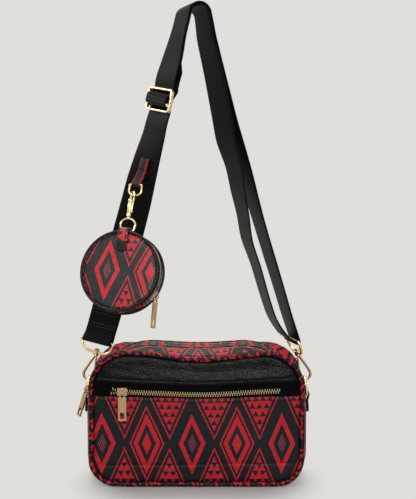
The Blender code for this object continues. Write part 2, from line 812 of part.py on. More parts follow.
def make_hook_eye(side, sign, eye, across):
    """The loop that carries the webbing, with the sleeve that the hook turns in."""
    pivot, _, down, _ = hook_frame(sign)
    bar = Vector(eye)
    half = STRAP_WIDTH / 2 + EYE_WIRE + 0.8 * MM
    base = pivot - bar
    outline = [(half - 1.0 * MM, 0.0), (half, 0.1), (half - 0.3 * MM, 0.33), (half - 2.2 * MM, 0.62)]
    outline += [(half - 5.5 * MM, 0.83), (half - 10.0 * MM, 0.96), (BOSS_RADIUS - 0.6 * MM, 1.0)]
    right = [bar + across * u + base * v for u, v in outline]
    left = [bar - across * u + base * v for u, v in reversed(outline)]
    wire = add_object(f"{side}_hook_eye", tube([*right, *left], EYE_WIRE, closed=True), gold())
    sleeve = boss_ring(pivot, down, BOSS_RADIUS, BOSS_BORE, BOSS_HALF_LENGTH)
    bore = tube([pivot - down * 4 * MM, pivot + down * 4 * MM], BOSS_BORE, sides=16)
    cut(wire, add_object("bore", bore, gold()))
    unite(wire, add_object("sleeve", sleeve, gold()))


# Strap


def width_direction(yaw, tilt):
    """The webbing's width: its right edge is nearer to the viewer, and raised by tilt."""
    turn, rise = math.radians(yaw), math.radians(tilt)
    return Vector((math.cos(turn) * math.cos(rise), -math.sin(turn) * math.cos(rise), math.sin(rise)))


def front_normal(yaw):
    turn = math.radians(yaw)
    return Vector((-math.sin(turn), -math.cos(turn), 0))


# Left leg's centre line: height, x, y, yaw, tilt
LEFT_LEG = (
    (147.3, -104.1, 0.0, 37.0, -6.0),
    (160.0, -100.2, 0.2, 36.0, -6.0),
    (200.0, -89.0, 1.0, 34.0, -8.0),
    (250.0, -74.6, 2.0, 32.0, -9.0),
    (290.0, -63.9, 3.0, 34.0, -9.0),
    (315.0, -57.8, 3.4, 38.0, -9.0),
    (340.0, -51.0, 4.0, 45.0, -8.5),
    (365.0, -43.9, 4.6, 52.5, -8.0),
    (398.3, -36.9, 5.2, 56.0, -8.0),
    (415.0, -33.6, 5.8, 57.0, -6.0),
    (440.0, -26.4, 6.8, 59.5, -1.0),
    (464.0, -20.4, 8.0, 65.0, 5.0),
    (484.5, -14.8, 9.1, 66.0, 8.0),
)

# Right leg, outer layer from the top down: x, y, height, yaw, tilt
RIGHT_OUTER = (
    (9.8, 19.3, 472.0, 64.5, 7.5),
    (11.8, 19.5, 460.0, 63.0, 7.0),
    (19.1, 19.4, 427.0, 59.0, 4.0),
    (25.2, 18.6, 402.4, 57.5, 2.0),
    (31.6, 17.4, 377.7, 57.0, 0.0),
    (39.4, 15.8, 352.9, 59.0, 0.0),
    (47.8, 13.8, 328.0, 63.5, 0.0),
    (55.4, 11.8, 303.1, 68.0, 0.0),
    (62.8, 9.8, 278.1, 71.5, 0.0),
    (70.3, 7.8, 253.1, 72.5, 0.0),
    (78.0, 5.8, 227.9, 73.0, 0.0),
    (85.7, 3.8, 202.7, 74.0, 0.0),
    (93.2, 2.0, 177.4, 74.5, 0.0),
    (99.2, 0.6, 159.0, 75.0, 0.0),
)

# Right leg, inner layer from the hook up: x, y, height, yaw, tilt
RIGHT_INNER = (
    (90.8, -1.6, 153.6, 75.5, 0.0),
    (83.2, -2.2, 163.8, 76.5, 0.0),
    (76.4, -1.8, 177.4, 77.0, 0.0),
    (68.4, -0.6, 202.7, 76.5, 0.0),
    (60.5, 0.8, 227.9, 75.5, 0.0),
    (53.0, 2.4, 253.1, 73.5, 0.0),
    (48.2, 4.9, 278.1, 71.5, 0.0),
    (42.9, 6.9, 303.1, 68.0, 0.0),
    (38.1, 9.2, 328.0, 63.5, 0.0),
    (32.3, 11.7, 352.9, 59.0, 0.0),
    (26.7, 14.2, 377.7, 57.0, 0.0),
    (22.1, 16.6, 402.4, 57.5, 2.0),
    (17.2, 18.3, 427.0, 59.0, 4.0),
    (9.4, 18.3, 460.0, 63.0, 7.0),
    (7.5, 18.1, 472.0, 64.5, 7.5),
)


def left_leg_at(height):
    """Centre, width direction and front normal of the left leg at a height in metres."""
    rows = LEFT_LEG
    level = height / MM
    i = 0
    while i < len(rows) - 2 and rows[i + 1][0] < level:
        i += 1
    a, b = rows[i], rows[i + 1]
    before = rows[max(i - 1, 0)]
    after = rows[min(i + 2, len(rows) - 1)]
    span = b[0] - a[0]
    t = (level - a[0]) / span
    values = []
    for k in range(1, 5):
        slope_a = (b[k] - before[k]) / (b[0] - before[0]) * span
        slope_b = (after[k] - a[k]) / (after[0] - a[0]) * span
        cubic = (2 * t**3 - 3 * t**2 + 1) * a[k] + (t**3 - 2 * t**2 + t) * slope_a
        values.append(cubic + (3 * t**2 - 2 * t**3) * b[k] + (t**3 - t**2) * slope_b)
    x, y, yaw, tilt = values
    return Vector((x * MM, y * MM, height)), width_direction(yaw, tilt), front_normal(yaw)


def leg_run(steps):
    """Stations of the left leg from (height, offset to the front) pairs."""
    made = []
    for height, offset in steps:
        centre, across, front = left_leg_at(height)
        made.append((centre + front * offset, across))
    return made


def wrap(bar, across, radius, start, end, steps):
    """Stations round a bar; the angle is 0 at its front, -90 below it and 180 behind it."""
    front = UP.cross(across).normalized() * -1
    if front.y > 0:
        front = -front
    above = across.cross(front).normalized()
    if above.z < 0:
        above = -above
    made = []
    for i in range(steps + 1):
        turn = math.radians(start + (end - start) * i / steps)
        made.append((bar + (front * math.cos(turn) + above * math.sin(turn)) * radius, across))
    return made


def apex_run(radius, rising):
    """Stations over the top, from left to right when rising."""
    centre = Vector(APEX)
    across = width_direction(APEX_YAW, APEX_TILT)
    turn = math.radians(APEX_YAW)
    side = Vector((math.sin(turn), math.cos(turn), 0))
    lift = side.cross(across) * -1
    if lift.z < 0:
        lift = -lift
    angles = [172 - 16.4 * i for i in range(11)]
    if not rising:
        angles.reverse()
    made = []
    for angle in angles:
        bend = math.radians(angle)
        made.append((centre + (side * math.cos(bend) + lift * math.sin(bend)) * radius, across))
    return made


def rows_to_stations(rows):
    return [(Vector((x, y, z)) * MM, width_direction(yaw, tilt)) for x, y, z, yaw, tilt in rows]


def dense(stations, steps=3):
    """Smooths hand-placed stations into closer ones."""
    centres = smooth_line([centre for centre, _ in stations], steps)
    widths = [across.normalized() for across in smooth_line([across for _, across in stations], steps)]
    return list(zip(centres, widths))


def adjuster_plane():
    """Centre, width, front and up of the slide adjuster, which lies just in front of the webbing."""
    centre, across, front = left_leg_at(ADJUSTER_HEIGHT)
    above = left_leg_at(ADJUSTER_HEIGHT + 5 * MM)[0] - left_leg_at(ADJUSTER_HEIGHT - 5 * MM)[0]
    above.normalize()
    across = (across - above * across.dot(above)).normalized()
    front = (front - above * front.dot(above)).normalized()
    return centre + front * ADJUSTER_HALF_DEPTH, across, front, above


def left_eye_bar():
    return width_direction(LEFT_EYE_YAW, LEFT_EYE_TILT)


def right_eye_bar():
    return width_direction(RIGHT_EYE_YAW, 0.0)


def bar_wrap():
    """Radius of the webbing's centre line where it turns round a bar of the eye."""
    return EYE_WIRE + 1.6 * GAP + STRAP_THICKNESS / 2


def make_strap():
    level = ADJUSTER_HEIGHT
    left, right = Vector(LEFT_EYE), Vector(RIGHT_EYE)
    turn = bar_wrap()
    half = ADJUSTER_HALF_HEIGHT
    behind = -2 * GAP - STRAP_THICKNESS / 2
    bulge = ADJUSTER_HALF_DEPTH + pin_wrap() + LAYER_PITCH
    sewn = [left.z + SEWN_TAIL, left.z + 22 * MM, left.z + 9 * MM]
    stations = leg_run([(height, -LAYER_PITCH) for height in sewn])
    stations += wrap(left, left_eye_bar(), turn, 180, 360, 8)
    stations += leg_run([(left.z + 8 * MM, 0.3 * MM)])
    stations += leg_run([(left.z + (level - half - 14 * MM - left.z) * i / 44, 0.0) for i in range(4, 45)])
    weave = [(-half - 6 * MM, behind / 2), (-half - 2 * MM, behind), (-half, behind)]
    weave += [(-half + 2 * MM, behind), (-half / 2, bulge * 0.45), (-3 * MM, bulge), (0, bulge)]
    weave += [(3 * MM, bulge), (half / 2, bulge * 0.76), (half - 2 * MM, behind + 0.5 * MM)]
    weave += [(half, behind), (half + 2 * MM, behind), (half + 6 * MM, behind / 2)]
    stations += dense(leg_run([(level + rise, offset) for rise, offset in weave]), 2)
    first, last = level + half + 14 * MM, APEX[2] - 8 * MM
    upper = [first + (last - first) * i / 16 for i in range(17)]
    stations += leg_run([(height, 0.0) for height in upper])
    stations += apex_run(APEX_RADIUS, True)
    stations += dense(rows_to_stations(RIGHT_OUTER), 2)
    stations += right_wrap(right, turn)
    stations += dense(rows_to_stations(RIGHT_INNER), 2)
    stations += apex_run(APEX_RADIUS - LAYER_PITCH, False)
    stations += leg_run([(height, -LAYER_PITCH) for height in reversed(upper[4:])])
    stations += end_loop(level, half, behind)
    centres = [centre for centre, _ in stations]
    widths = [across for _, across in stations]
    add_object("strap_webbing", ribbon(centres, widths, STRAP_WIDTH, STRAP_THICKNESS), webbing())


def right_wrap(bar, radius):
    """The webbing comes down on the outside of the right eye's bar and leaves on the inside."""
    across = right_eye_bar()
    out = Vector((math.sin(math.radians(RIGHT_EYE_YAW)), math.cos(math.radians(RIGHT_EYE_YAW)), 0))
    made = []
    for i in range(9):
        turn = math.radians(20 - 200 * i / 8)
        made.append((bar + (out * math.cos(turn) + UP * math.sin(turn)) * radius, across))
    return made


def pin_wrap():
    """Radius of the webbing's centre line where it turns round the adjuster's pin."""
    return ADJUSTER_PIN + GAP + STRAP_THICKNESS / 2


def end_loop(level, half, behind):
    """The webbing's second end: behind the frame, round the centre bar and back up on itself."""
    centre, across, front, above = adjuster_plane()
    turn = pin_wrap()
    shallow = behind - LAYER_PITCH - 0.4 * MM
    deep = shallow - LAYER_PITCH
    rises = [18 * MM, 14 * MM, 10 * MM, 6 * MM, 2 * MM, -2 * MM]
    made = leg_run([(level + half + rise, deep) for rise in rises])
    for i in range(11):
        angle = math.radians(203 + 202 * i / 10)
        made.append((centre + (front * math.cos(angle) + above * math.sin(angle)) * turn, across))
    rises = [-2 * MM, 0, 3 * MM, 7 * MM, 10 * MM]
    made += leg_run([(level + half + rise, shallow) for rise in rises])
    return made


def make_adjuster():
    """A frame with a loose pin through its sides; the webbing's end is sewn round the pin."""
    centre, across, front, above = adjuster_plane()
    half_width = STRAP_WIDTH / 2 + ADJUSTER_SIDE_CLEARANCE + ADJUSTER_WIRE
    bend = 3.0 * MM
    corner = arc(half_width - bend, ADJUSTER_HALF_HEIGHT - bend, bend, 0, 90, 4)
    top = corner + [(-u, v) for u, v in reversed(corner)]
    outline = top + [(-u, -v) for u, v in top]
    points = [centre + across * u + above * v for u, v in outline]
    flat = ADJUSTER_WIRE / ADJUSTER_HALF_DEPTH
    side = across.cross(front)
    wire = tube(points, ADJUSTER_HALF_DEPTH, closed=True, flat=flat, side=side)
    frame = add_object("adjuster_frame", wire, gold())
    reach = half_width + ADJUSTER_WIRE + GAP
    bore = ADJUSTER_PIN + GAP
    for sign in (-1, 1):
        near = centre + across * sign * (half_width - 4 * MM)
        far = centre + across * sign * (half_width + 4 * MM)
        cut(frame, add_object("bore", tube([near, far], bore, sides=12), gold()))
    rod = tube([centre - across * reach, centre + across * reach], ADJUSTER_PIN)
    pin = add_object("adjuster_pin", rod, gold())
    for sign in (-1, 1):
        near, far = centre + across * sign * reach, centre + across * sign * (reach + 1.0 * MM)
        head = tube([near, far], ADJUSTER_PIN + 2 * GAP + 0.2 * MM, sides=10)
        unite(pin, add_object("head", head, gold()))


# Coin pouch and its clasp


def pouch_frame():
    up = Vector(POUCH_UP).normalized()
    face = Vector(POUCH_FACE)
    face = (face - up * face.dot(up)).normalized()
    right = up.cross(face)
    turn = Matrix((right, -face, up)).transposed().to_4x4()
    return Matrix.Translation(Vector(POUCH_ORIGIN)) @ turn


def in_pouch(point):
    return pouch_frame() @ Vector(point)


def add_hung(name, shape, finish, origin=(0, 0, 0)):
    """Adds a shape that was made in the pouch's frame, with its origin on its own joint."""
    made = add_object(name, shape, finish)
    made.data.transform(pouch_frame())
    place_origin(made, in_pouch(origin))
    return made


def clasp_plane(out, along):
    turn = math.radians(CLASP_TURN)
    return Vector((out * math.cos(turn), out * math.sin(turn), along))


def make_clasp():
    """A trigger clasp: barrel and hook in one, with a sprung lever that closes the hook."""
    reach = 8.4 * MM
    arch = arc(reach / 2, -2.9 * MM, reach / 2, 180, -5, 9)
    wire = tube([clasp_plane(u, v) for u, v in [(0.0, -12.0 * MM), (0.0, -7.0 * MM), *arch]], CLASP_WIRE)
    clasp = add_object("clasp_body", wire, gold())
    barrel = tube([(0, 0, BARREL_TOP), (0, 0, BARREL_BASE)], BARREL_RADIUS, sides=12)
    deep, mouth = (0, 0, BARREL_BASE + BARREL_BORE_DEPTH), (0, 0, BARREL_BASE - 1 * MM)
    bore = tube([deep, mouth], BARREL_BORE, sides=12)
    unite(clasp, add_object("barrel", barrel, gold()))
    foot = tube([clasp_plane(1.2 * MM, -18.5 * MM), clasp_plane(4.4 * MM, -18.5 * MM)], 1.1 * MM)
    unite(clasp, add_object("foot", foot, gold()))
    cut(clasp, add_object("bore", bore, gold()))
    clasp.data.transform(pouch_frame())
    place_origin(clasp, in_pouch((TAB_RING_X, TAB_RING_Y, TAB_RING_TOP - 2 * TAB_RING_HALF_HEIGHT)))
    hinge = clasp_plane(5.9 * MM, -18.5 * MM)
    lever = [(5.8 * MM, -20.0 * MM), (6.6 * MM, -12.0 * MM), (reach, -4.2 * MM)]
    lever = [clasp_plane(out, along) for out, along in lever]
    add_hung("clasp_lever", tube(lever, 1.1 * MM), gold(), hinge)


def ring_outline(half_width, half_height, flat_half):
    """A ring that is round above and flat below, where a tab folds round it."""
    upper = arc(0.0, 0.0, 1.0, 0, 180, 10)
    upper = [(half_width * u, half_height * v) for u, v in upper]
    lower = [(-half_width * 0.96, -0.35 * half_height), (-flat_half - 0.5 * MM, -0.9 * half_height)]
    lower += [(-flat_half, -half_height), (flat_half, -half_height)]
    return upper + lower + [(-u, v) for u, v in reversed(lower[:2])]


def make_tab_ring():
    points = []
    flat_half = FOLD_HALF_WIDTH + GAP + TAB_RING_WIRE
    for u, v in ring_outline(TAB_RING_HALF_WIDTH, TAB_RING_HALF_HEIGHT, flat_half):
        points.append((TAB_RING_X + u, TAB_RING_Y, TAB_RING_TOP - TAB_RING_HALF_HEIGHT - v))
    hinge = (TAB_RING_X, TAB_RING_Y, TAB_RING_TOP)
    add_hung("tab_ring", tube(points, TAB_RING_WIRE, closed=True), gold(), hinge)


def make_swivel_eye():
    points = []
    flat_half = FOLD_HALF_WIDTH + GAP + EYE_RING_WIRE
    for u, v in ring_outline(EYE_RING_HALF_WIDTH, EYE_RING_HALF_HEIGHT, flat_half):
        points.append((u, 0, v - EYE_RING_DROP))
    ring = add_hung("swivel_eye", tube(points, EYE_RING_WIRE, closed=True), gold())
    neck = -EYE_RING_DROP + EYE_RING_HALF_HEIGHT
    collar = tube([(0, 0, neck), (0, 0, BARREL_BASE - GAP)], BARREL_RADIUS - 0.4 * MM, sides=10)
    unite(ring, add_hung("collar", collar, gold()))
    tip = BARREL_BASE + BARREL_BORE_DEPTH - 2 * GAP
    post = tube([(0, 0, neck), (0, 0, tip)], BARREL_BORE - GAP, sides=10)
    unite(ring, add_hung("post", post, gold()))


def disc_outline(radius, steps):
    turns = [math.tau * i / steps for i in range(steps)]
    return [(radius * math.cos(turn), radius * math.sin(turn)) for turn in turns]


def make_pouch_disc(name, side):
    """A round panel, crowned a little, with its rim just inside the binding."""
    rim = POUCH_RADIUS - POUCH_PIPING - GAP
    back = side * (POUCH_HALF_DEPTH - POUCH_PANEL)
    shape = bmesh.new()
    rings = []
    for share, depth in ((0.0, 0.0), (0.0, POUCH_PANEL), (0.45, POUCH_PANEL + POUCH_CROWN)):
        outline = disc_outline(rim * (1 - share), POUCH_STEPS)
        rings.append([Vector((u, back + side * depth, v - POUCH_CENTRE_DROP)) for u, v in outline])
    skin(shape, rings, False)
    add_hung(name, shape, printed())


def make_pouch_binding(name, side):
    outline = disc_outline(POUCH_RADIUS, POUCH_STEPS)
    y = side * POUCH_HALF_DEPTH
    points = [(u, y, v - POUCH_CENTRE_DROP) for u, v in outline]
    add_hung(name, tube(points, POUCH_PIPING, closed=True, sides=6), pebbled())


def pouch_band(name, start, end, depths, outside, inside, finish, steps=20):
    """A strip of the pouch's wall between two angles."""
    shape = bmesh.new()
    rings = []
    for i in range(steps + 1):
        turn = math.radians(start + (end - start) * i / steps)
        spoke = Vector((math.cos(turn), 0, math.sin(turn)))
        centre = Vector((0, 0, -POUCH_CENTRE_DROP))
        low, high = depths
        rings.append([
            centre + spoke * outside + Vector((0, low, 0)), centre + spoke * outside + Vector((0, high, 0)),
            centre + spoke * inside + Vector((0, high, 0)), centre + spoke * inside + Vector((0, low, 0)),
        ])
    skin(shape, rings, False)
    return add_hung(name, shape, finish)


def pouch_chain_radius():
    return POUCH_RADIUS + 0.4 * MM


def make_pouch_wall():
    edge = POUCH_HALF_DEPTH - POUCH_PANEL - GAP
    wall = 1.5 * MM
    seam = math.degrees(GAP / POUCH_RADIUS)
    start, end = POUCH_ZIP_START + seam, POUCH_ZIP_END + 360 - seam
    pouch_band("pouch_gusset", start, end, (-edge, edge), POUCH_RADIUS, POUCH_RADIUS - wall, printed(), 30)
    chain_base = pouch_chain_radius() - CHAIN_THICKNESS
    floor = chain_base - GAP
    under = floor - TAPE_THICKNESS
    pouch_band("pouch_zip_tape", POUCH_ZIP_END, POUCH_ZIP_START, (-edge, edge), floor, under, tape())
    half = CHAIN_HALF_WIDTH
    chain_end, chain_start = POUCH_ZIP_END + 2, POUCH_ZIP_START - 2
    top = pouch_chain_radius()
    pouch_band("pouch_zip_chain", chain_end, chain_start, (-half, half), top, chain_base, gold())


def make_pouch_slider():
    frame = pouch_frame()
    turn = math.radians(POUCH_SLIDER_ANGLE)
    spoke = Vector((math.cos(turn), 0, math.sin(turn)))
    travel = Vector((-math.sin(turn), 0, math.cos(turn)))
    hub = Vector((0, 0, -POUCH_CENTRE_DROP))
    centre = hub + spoke * (pouch_chain_radius() + 0.2 * MM)
    body = slider_body("pouch_slider", centre, travel, Vector((0, 1, 0)), spoke)
    add_bail(body, centre, -travel, spoke, bail_rise(POUCH_PULL_TWIST))
    pivot = pull_pivot(centre, -travel, spoke, POUCH_PULL_TWIST)
    body.data.transform(frame)
    place_origin(body, frame @ hub)
    hang = frame.to_3x3().inverted() @ Vector((0, 0, -1))
    hang.y = 0
    hang.normalize()
    out = Vector((0, 1, 0)).cross(hang) * -1
    if out.dot(spoke) < 0:
        out = -out
    face = twisted(out, hang, Vector((0, -1, 0)), POUCH_PULL_TWIST)
    pull = pull_plate("pouch_pull", pivot, hang, face, 31.0 * MM, 3.0 * MM)
    origin = frame @ pull.location
    pull.data.transform(Matrix.Translation(pull.location))
    pull.location = (0, 0, 0)
    pull.data.transform(frame)
    place_origin(pull, origin)


def make_pouch_tab():
    """A strip sewn on both faces of the pouch, arched through the swivel eye."""
    face = POUCH_HALF_DEPTH + POUCH_CROWN + GAP + POUCH_TAB_THICKNESS
    wire = -EYE_RING_DROP - EYE_RING_HALF_HEIGHT
    crest = wire + EYE_RING_WIRE + 2.5 * GAP + POUCH_TAB_THICKNESS / 2
    shoulder = POUCH_RADIUS - POUCH_CENTRE_DROP + POUCH_PIPING + GAP + POUCH_TAB_THICKNESS
    half = [(face, -63.2 * MM), (face, -55.0 * MM), (face, shoulder - 2.5 * MM)]
    half += [(face - 1.2 * MM, shoulder + 0.2 * MM), (face - 4.5 * MM, shoulder + 0.8 * MM)]
    half += [(3.6 * MM, crest - 1.6 * MM), (1.5 * MM, crest - 0.1 * MM)]
    line = [(-y, z) for y, z in half] + [(0.0, crest)] + list(reversed(half))
    points = [Vector((0, y, z)) for y, z in line]
    narrow = FOLD_HALF_WIDTH / POUCH_TAB_HALF_WIDTH
    shares = [1.0] * 5 + [narrow] * 5 + [1.0] * 5
    widths = [Vector((share, 0, 0)) for share in shares]
    shape = ribbon(points, widths, 2 * POUCH_TAB_HALF_WIDTH, POUCH_TAB_THICKNESS)
    add_hung("pouch_tab", shape, printed())


def make_strap_tab():
    """The printed tab sewn on the strap's front face, folded round the tab ring."""
    ring_top = in_pouch((TAB_RING_X, TAB_RING_Y, TAB_RING_TOP))
    thickness = STRAP_TAB_THICKNESS
    lift = STRAP_THICKNESS / 2 + 2 * GAP + thickness / 2
    heights = [ring_top.z + rise * MM for rise in (27.0, 20.0, 13.0)]
    under = leg_run([(height, lift) for height in heights])
    over = leg_run([(height, lift + thickness + GAP) for height in reversed(heights)])
    frame = pouch_frame().to_3x3()
    across, out, up = (frame @ Vector(way) for way in ((1, 0, 0), (0, -1, 0), (0, 0, 1)))
    radius = TAB_RING_WIRE + GAP + thickness / 2
    turns = []
    for i in range(9):
        angle = math.radians(150 + 240 * i / 8)
        turns.append((ring_top + (out * math.cos(angle) + up * math.sin(angle)) * radius, across))
    narrow = FOLD_HALF_WIDTH / STRAP_TAB_HALF_WIDTH
    line = under + [(centre, wide * narrow) for centre, wide in turns] + over
    centres = [centre for centre, _ in line]
    widths = [wide for _, wide in line]
    add_object("strap_tab", ribbon(centres, widths, 2 * STRAP_TAB_HALF_WIDTH, thickness), printed())


def build():
    for obj in list(bpy.data.objects):
        bpy.data.objects.remove(obj, do_unlink=True)
    make_panels()
    make_pipings()
    make_gusset()
    make_front_zip()
    make_top_sliders()
    ends = (("left", -1, LEFT_EYE, left_eye_bar()), ("right", 1, RIGHT_EYE, right_eye_bar()))
    for side, sign, eye, across in ends:
        make_tab(f"{side}_tab", sign)
        make_d_ring(f"{side}_d_ring", sign)
        make_hook(side, sign)
        make_hook_eye(side, sign, eye, across)
    make_strap()
    make_adjuster()
    make_strap_tab()
    make_tab_ring()
    make_clasp()
    make_swivel_eye()
    make_pouch_tab()
    for name, side in (("front", -1), ("back", 1)):
        make_pouch_disc(f"pouch_{name}", side)
        make_pouch_binding(f"pouch_{name}_binding", side)
    make_pouch_wall()
    make_pouch_slider()


build()
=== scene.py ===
# Printed crossbody bag with a coin pouch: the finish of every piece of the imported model
import json
import math
import bmesh
import bpy
import numpy as np
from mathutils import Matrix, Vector

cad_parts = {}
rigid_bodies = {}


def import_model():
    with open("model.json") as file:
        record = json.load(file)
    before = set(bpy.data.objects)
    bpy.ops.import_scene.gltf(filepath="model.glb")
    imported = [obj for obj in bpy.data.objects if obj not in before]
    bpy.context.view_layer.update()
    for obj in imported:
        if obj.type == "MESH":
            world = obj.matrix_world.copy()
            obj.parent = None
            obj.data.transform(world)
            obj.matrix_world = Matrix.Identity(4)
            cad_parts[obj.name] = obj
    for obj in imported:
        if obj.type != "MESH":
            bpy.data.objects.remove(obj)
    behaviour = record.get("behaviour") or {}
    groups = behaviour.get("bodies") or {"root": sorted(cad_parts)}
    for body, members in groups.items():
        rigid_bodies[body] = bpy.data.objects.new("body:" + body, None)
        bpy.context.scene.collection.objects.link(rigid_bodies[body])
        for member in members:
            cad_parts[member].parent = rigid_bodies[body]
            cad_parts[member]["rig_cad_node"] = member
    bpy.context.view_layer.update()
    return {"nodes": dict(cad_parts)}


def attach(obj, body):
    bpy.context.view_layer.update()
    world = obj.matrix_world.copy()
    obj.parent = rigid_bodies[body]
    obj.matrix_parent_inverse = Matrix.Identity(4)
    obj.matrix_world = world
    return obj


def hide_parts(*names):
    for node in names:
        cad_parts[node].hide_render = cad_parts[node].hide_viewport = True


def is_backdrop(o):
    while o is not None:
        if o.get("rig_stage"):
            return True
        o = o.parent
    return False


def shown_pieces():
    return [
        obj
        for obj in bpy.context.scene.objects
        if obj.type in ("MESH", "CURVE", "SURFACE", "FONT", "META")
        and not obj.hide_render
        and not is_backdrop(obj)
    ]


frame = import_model()
nodes = frame["nodes"]
mm = 0.001
bagBody = "bag_and_strap"
scene = bpy.context.scene
print("frame loaded:", len(nodes), "nodes")


# Camera and studio, in metres

view = {"place": (0.0116, -1.70, 0.42), "pitch": 5.94, "lens": 118.3, "film": 36}
studio = {
    "backdrop": (0.745, 0.738, 0.708), "floor": (0.462, 0.458, 0.440), "worldLight": 0.34,
    "aim": (0, 0, 0.2), "floorSide": 3.0, "floorSteps": 60,
    "shadowStart": 0.07, "shadowEnd": 0.15, "shadowShape": (1.0, 0.6, 1.0),
}
lamps = {
    "key": {"place": (-0.5, -1.1, 1.8), "size": 1.2, "power": 12},
    "fill": {"place": (0.12, -1.55, 0.60), "size": 0.42, "power": 12},
    "top": {"place": (0.0, 0.42, 1.6), "size": 0.9, "power": 24},
    "rim": {"place": (-1.5, 0.5, 0.95), "size": 0.5, "power": 6},
}


def addObject(name, data):
    made = bpy.data.objects.new(name, data)
    scene.collection.objects.link(made)
    return made


def feed(tree, socket, value):
    # A socket takes a wire, another socket or a plain value
    value = value.socket if isinstance(value, Wire) else value
    if isinstance(value, bpy.types.NodeSocket):
        tree.links.new(value, socket)
    elif value is not None:
        socket.default_value = value


def newNode(tree, kind, wires=(), **settings):
    # wires go to the first inputs in turn; a setting is an input by name, or else a property
    node = tree.nodes.new(kind)
    for key, value in settings.items():
        if key in node.inputs:
            feed(tree, node.inputs[key], value)
        else:
            setattr(node, key, value)
    for i, value in enumerate(wires):
        feed(tree, node.inputs[i], value)
    return node


class Wire:
    # A number on its way between nodes; sums with wires become Math nodes
    def __init__(self, tree, socket):
        self.tree = tree
        self.socket = socket

    def do(self, operation, *others, first=None):
        wires = [self, *others] if first is None else [first, self]
        return Wire(self.tree, newNode(self.tree, "ShaderNodeMath", wires, operation=operation).outputs[0])

    def __add__(self, other):
        return self.do("ADD", other)

    def __sub__(self, other):
        return self.do("SUBTRACT", other)

    def __rsub__(self, other):
        return self.do("SUBTRACT", first=other)

    def __mul__(self, other):
        return self.do("MULTIPLY", other)

    def __abs__(self):
        return self.do("ABSOLUTE")

    def __lt__(self, other):
        return self.do("LESS_THAN", other)

    def __gt__(self, other):
        return self.do("GREATER_THAN", other)

    __radd__ = __add__
    __rmul__ = __mul__


def lightPathMask(tree):
    # 1 for what the camera sees, directly, in metal or through glass
    path = newNode(tree, "ShaderNodeLightPath").outputs
    mask = Wire(tree, path["Is Camera Ray"])
    for name in ("Is Glossy Ray", "Is Transmission Ray"):
        mask = mask.do("MAXIMUM", path[name])
    return mask


def emptyTree(owner):
    owner.use_nodes = True
    owner.node_tree.nodes.clear()
    return owner.node_tree


def makeCamera():
    camera = addObject("camera", bpy.data.cameras.new("camera"))
    camera.location = view["place"]
    camera.rotation_euler = (math.radians(90 - view["pitch"]), 0, 0)
    camera.data.lens = view["lens"]
    camera.data.sensor_width = view["film"]
    camera.data.sensor_height = view["film"]
    camera.data.sensor_fit = "VERTICAL"
    scene.camera = camera
    scene.view_settings.view_transform = "Standard"


def makeLights():
    scene.world = bpy.data.worlds.new("studio")
    tree = emptyTree(scene.world)
    lit = newNode(tree, "ShaderNodeBackground", Color=(1, 1, 1, 1), Strength=studio["worldLight"])
    seen = newNode(tree, "ShaderNodeBackground", Color=(*studio["backdrop"], 1), Strength=1.0)
    mix = newNode(tree, "ShaderNodeMixShader", [lightPathMask(tree), lit.outputs[0], seen.outputs[0]])
    newNode(tree, "ShaderNodeOutputWorld", mix.outputs)
    for name, given in lamps.items():
        lamp = bpy.data.lights.new(name, "AREA")
        lamp.shape = "DISK"
        lamp.size = given["size"]
        lamp.energy = given["power"]
        holder = addObject(name, lamp)
        holder.location = given["place"]
        holder.rotation_euler = (Vector(studio["aim"]) - holder.location).to_track_quat("-Z", "Y").to_euler()


def makeFloor():
    # Paper that takes the bag's shadow close by and has the backdrop's own colour further out
    side, steps = studio["floorSide"], studio["floorSteps"]
    row = steps + 1
    at = [side * (2 * i / steps - 1) for i in range(row)]
    verts = [(x, y, 0) for y in at for x in at]
    starts = [j * row + i for j in range(steps) for i in range(steps)]
    grid = bpy.data.meshes.new("floor")
    grid.from_pydata(verts, [], [(k, k + 1, k + row + 1, k + row) for k in starts])
    paper = bpy.data.materials.new("studio paper")
    tree = emptyTree(paper)
    matt = newNode(tree, "ShaderNodeBsdfDiffuse", Color=(*studio["floor"], 1))
    glow = newNode(tree, "ShaderNodeEmission", Color=(*studio["backdrop"], 1), Strength=1.0)
    place = newNode(tree, "ShaderNodeTexCoord").outputs["Object"]
    oval = newNode(tree, "ShaderNodeVectorMath", [place, studio["shadowShape"]], operation="MULTIPLY")
    reach = newNode(tree, "ShaderNodeVectorMath", oval.outputs[:1], operation="LENGTH")
    limits = [reach.outputs["Value"], studio["shadowStart"], studio["shadowEnd"]]
    fade = newNode(tree, "ShaderNodeMapRange", limits, interpolation_type="SMOOTHSTEP")
    share = Wire(tree, fade.outputs[0]) * lightPathMask(tree)
    mix = newNode(tree, "ShaderNodeMixShader", [share, matt.outputs[0], glow.outputs[0]])
    newNode(tree, "ShaderNodeOutputMaterial", mix.outputs)
    grid.materials.append(paper)
    addObject("floor", grid)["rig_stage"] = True


makeCamera()
makeLights()
makeFloor()
print("studio ready")


# Finishes

finish = {
    "black": (0.0070, 0.0070, 0.0080),
    "yoke": (0.0030, 0.0030, 0.0036),
    "red": (0.400, 0.0120, 0.0230),
    "mutedRed": (0.230, 0.045, 0.070),
    "brass": (0.800, 0.620, 0.350),
    "agedBrass": (0.520, 0.350, 0.195),
    "darkBrass": (0.420, 0.270, 0.140),
    "webbing": (0.0032, 0.0031, 0.0037),
    "tape": (0.0025, 0.0025, 0.0030),
    "lining": (0.030, 0.030, 0.032),
    "thread": (0.009, 0.009, 0.010),
}
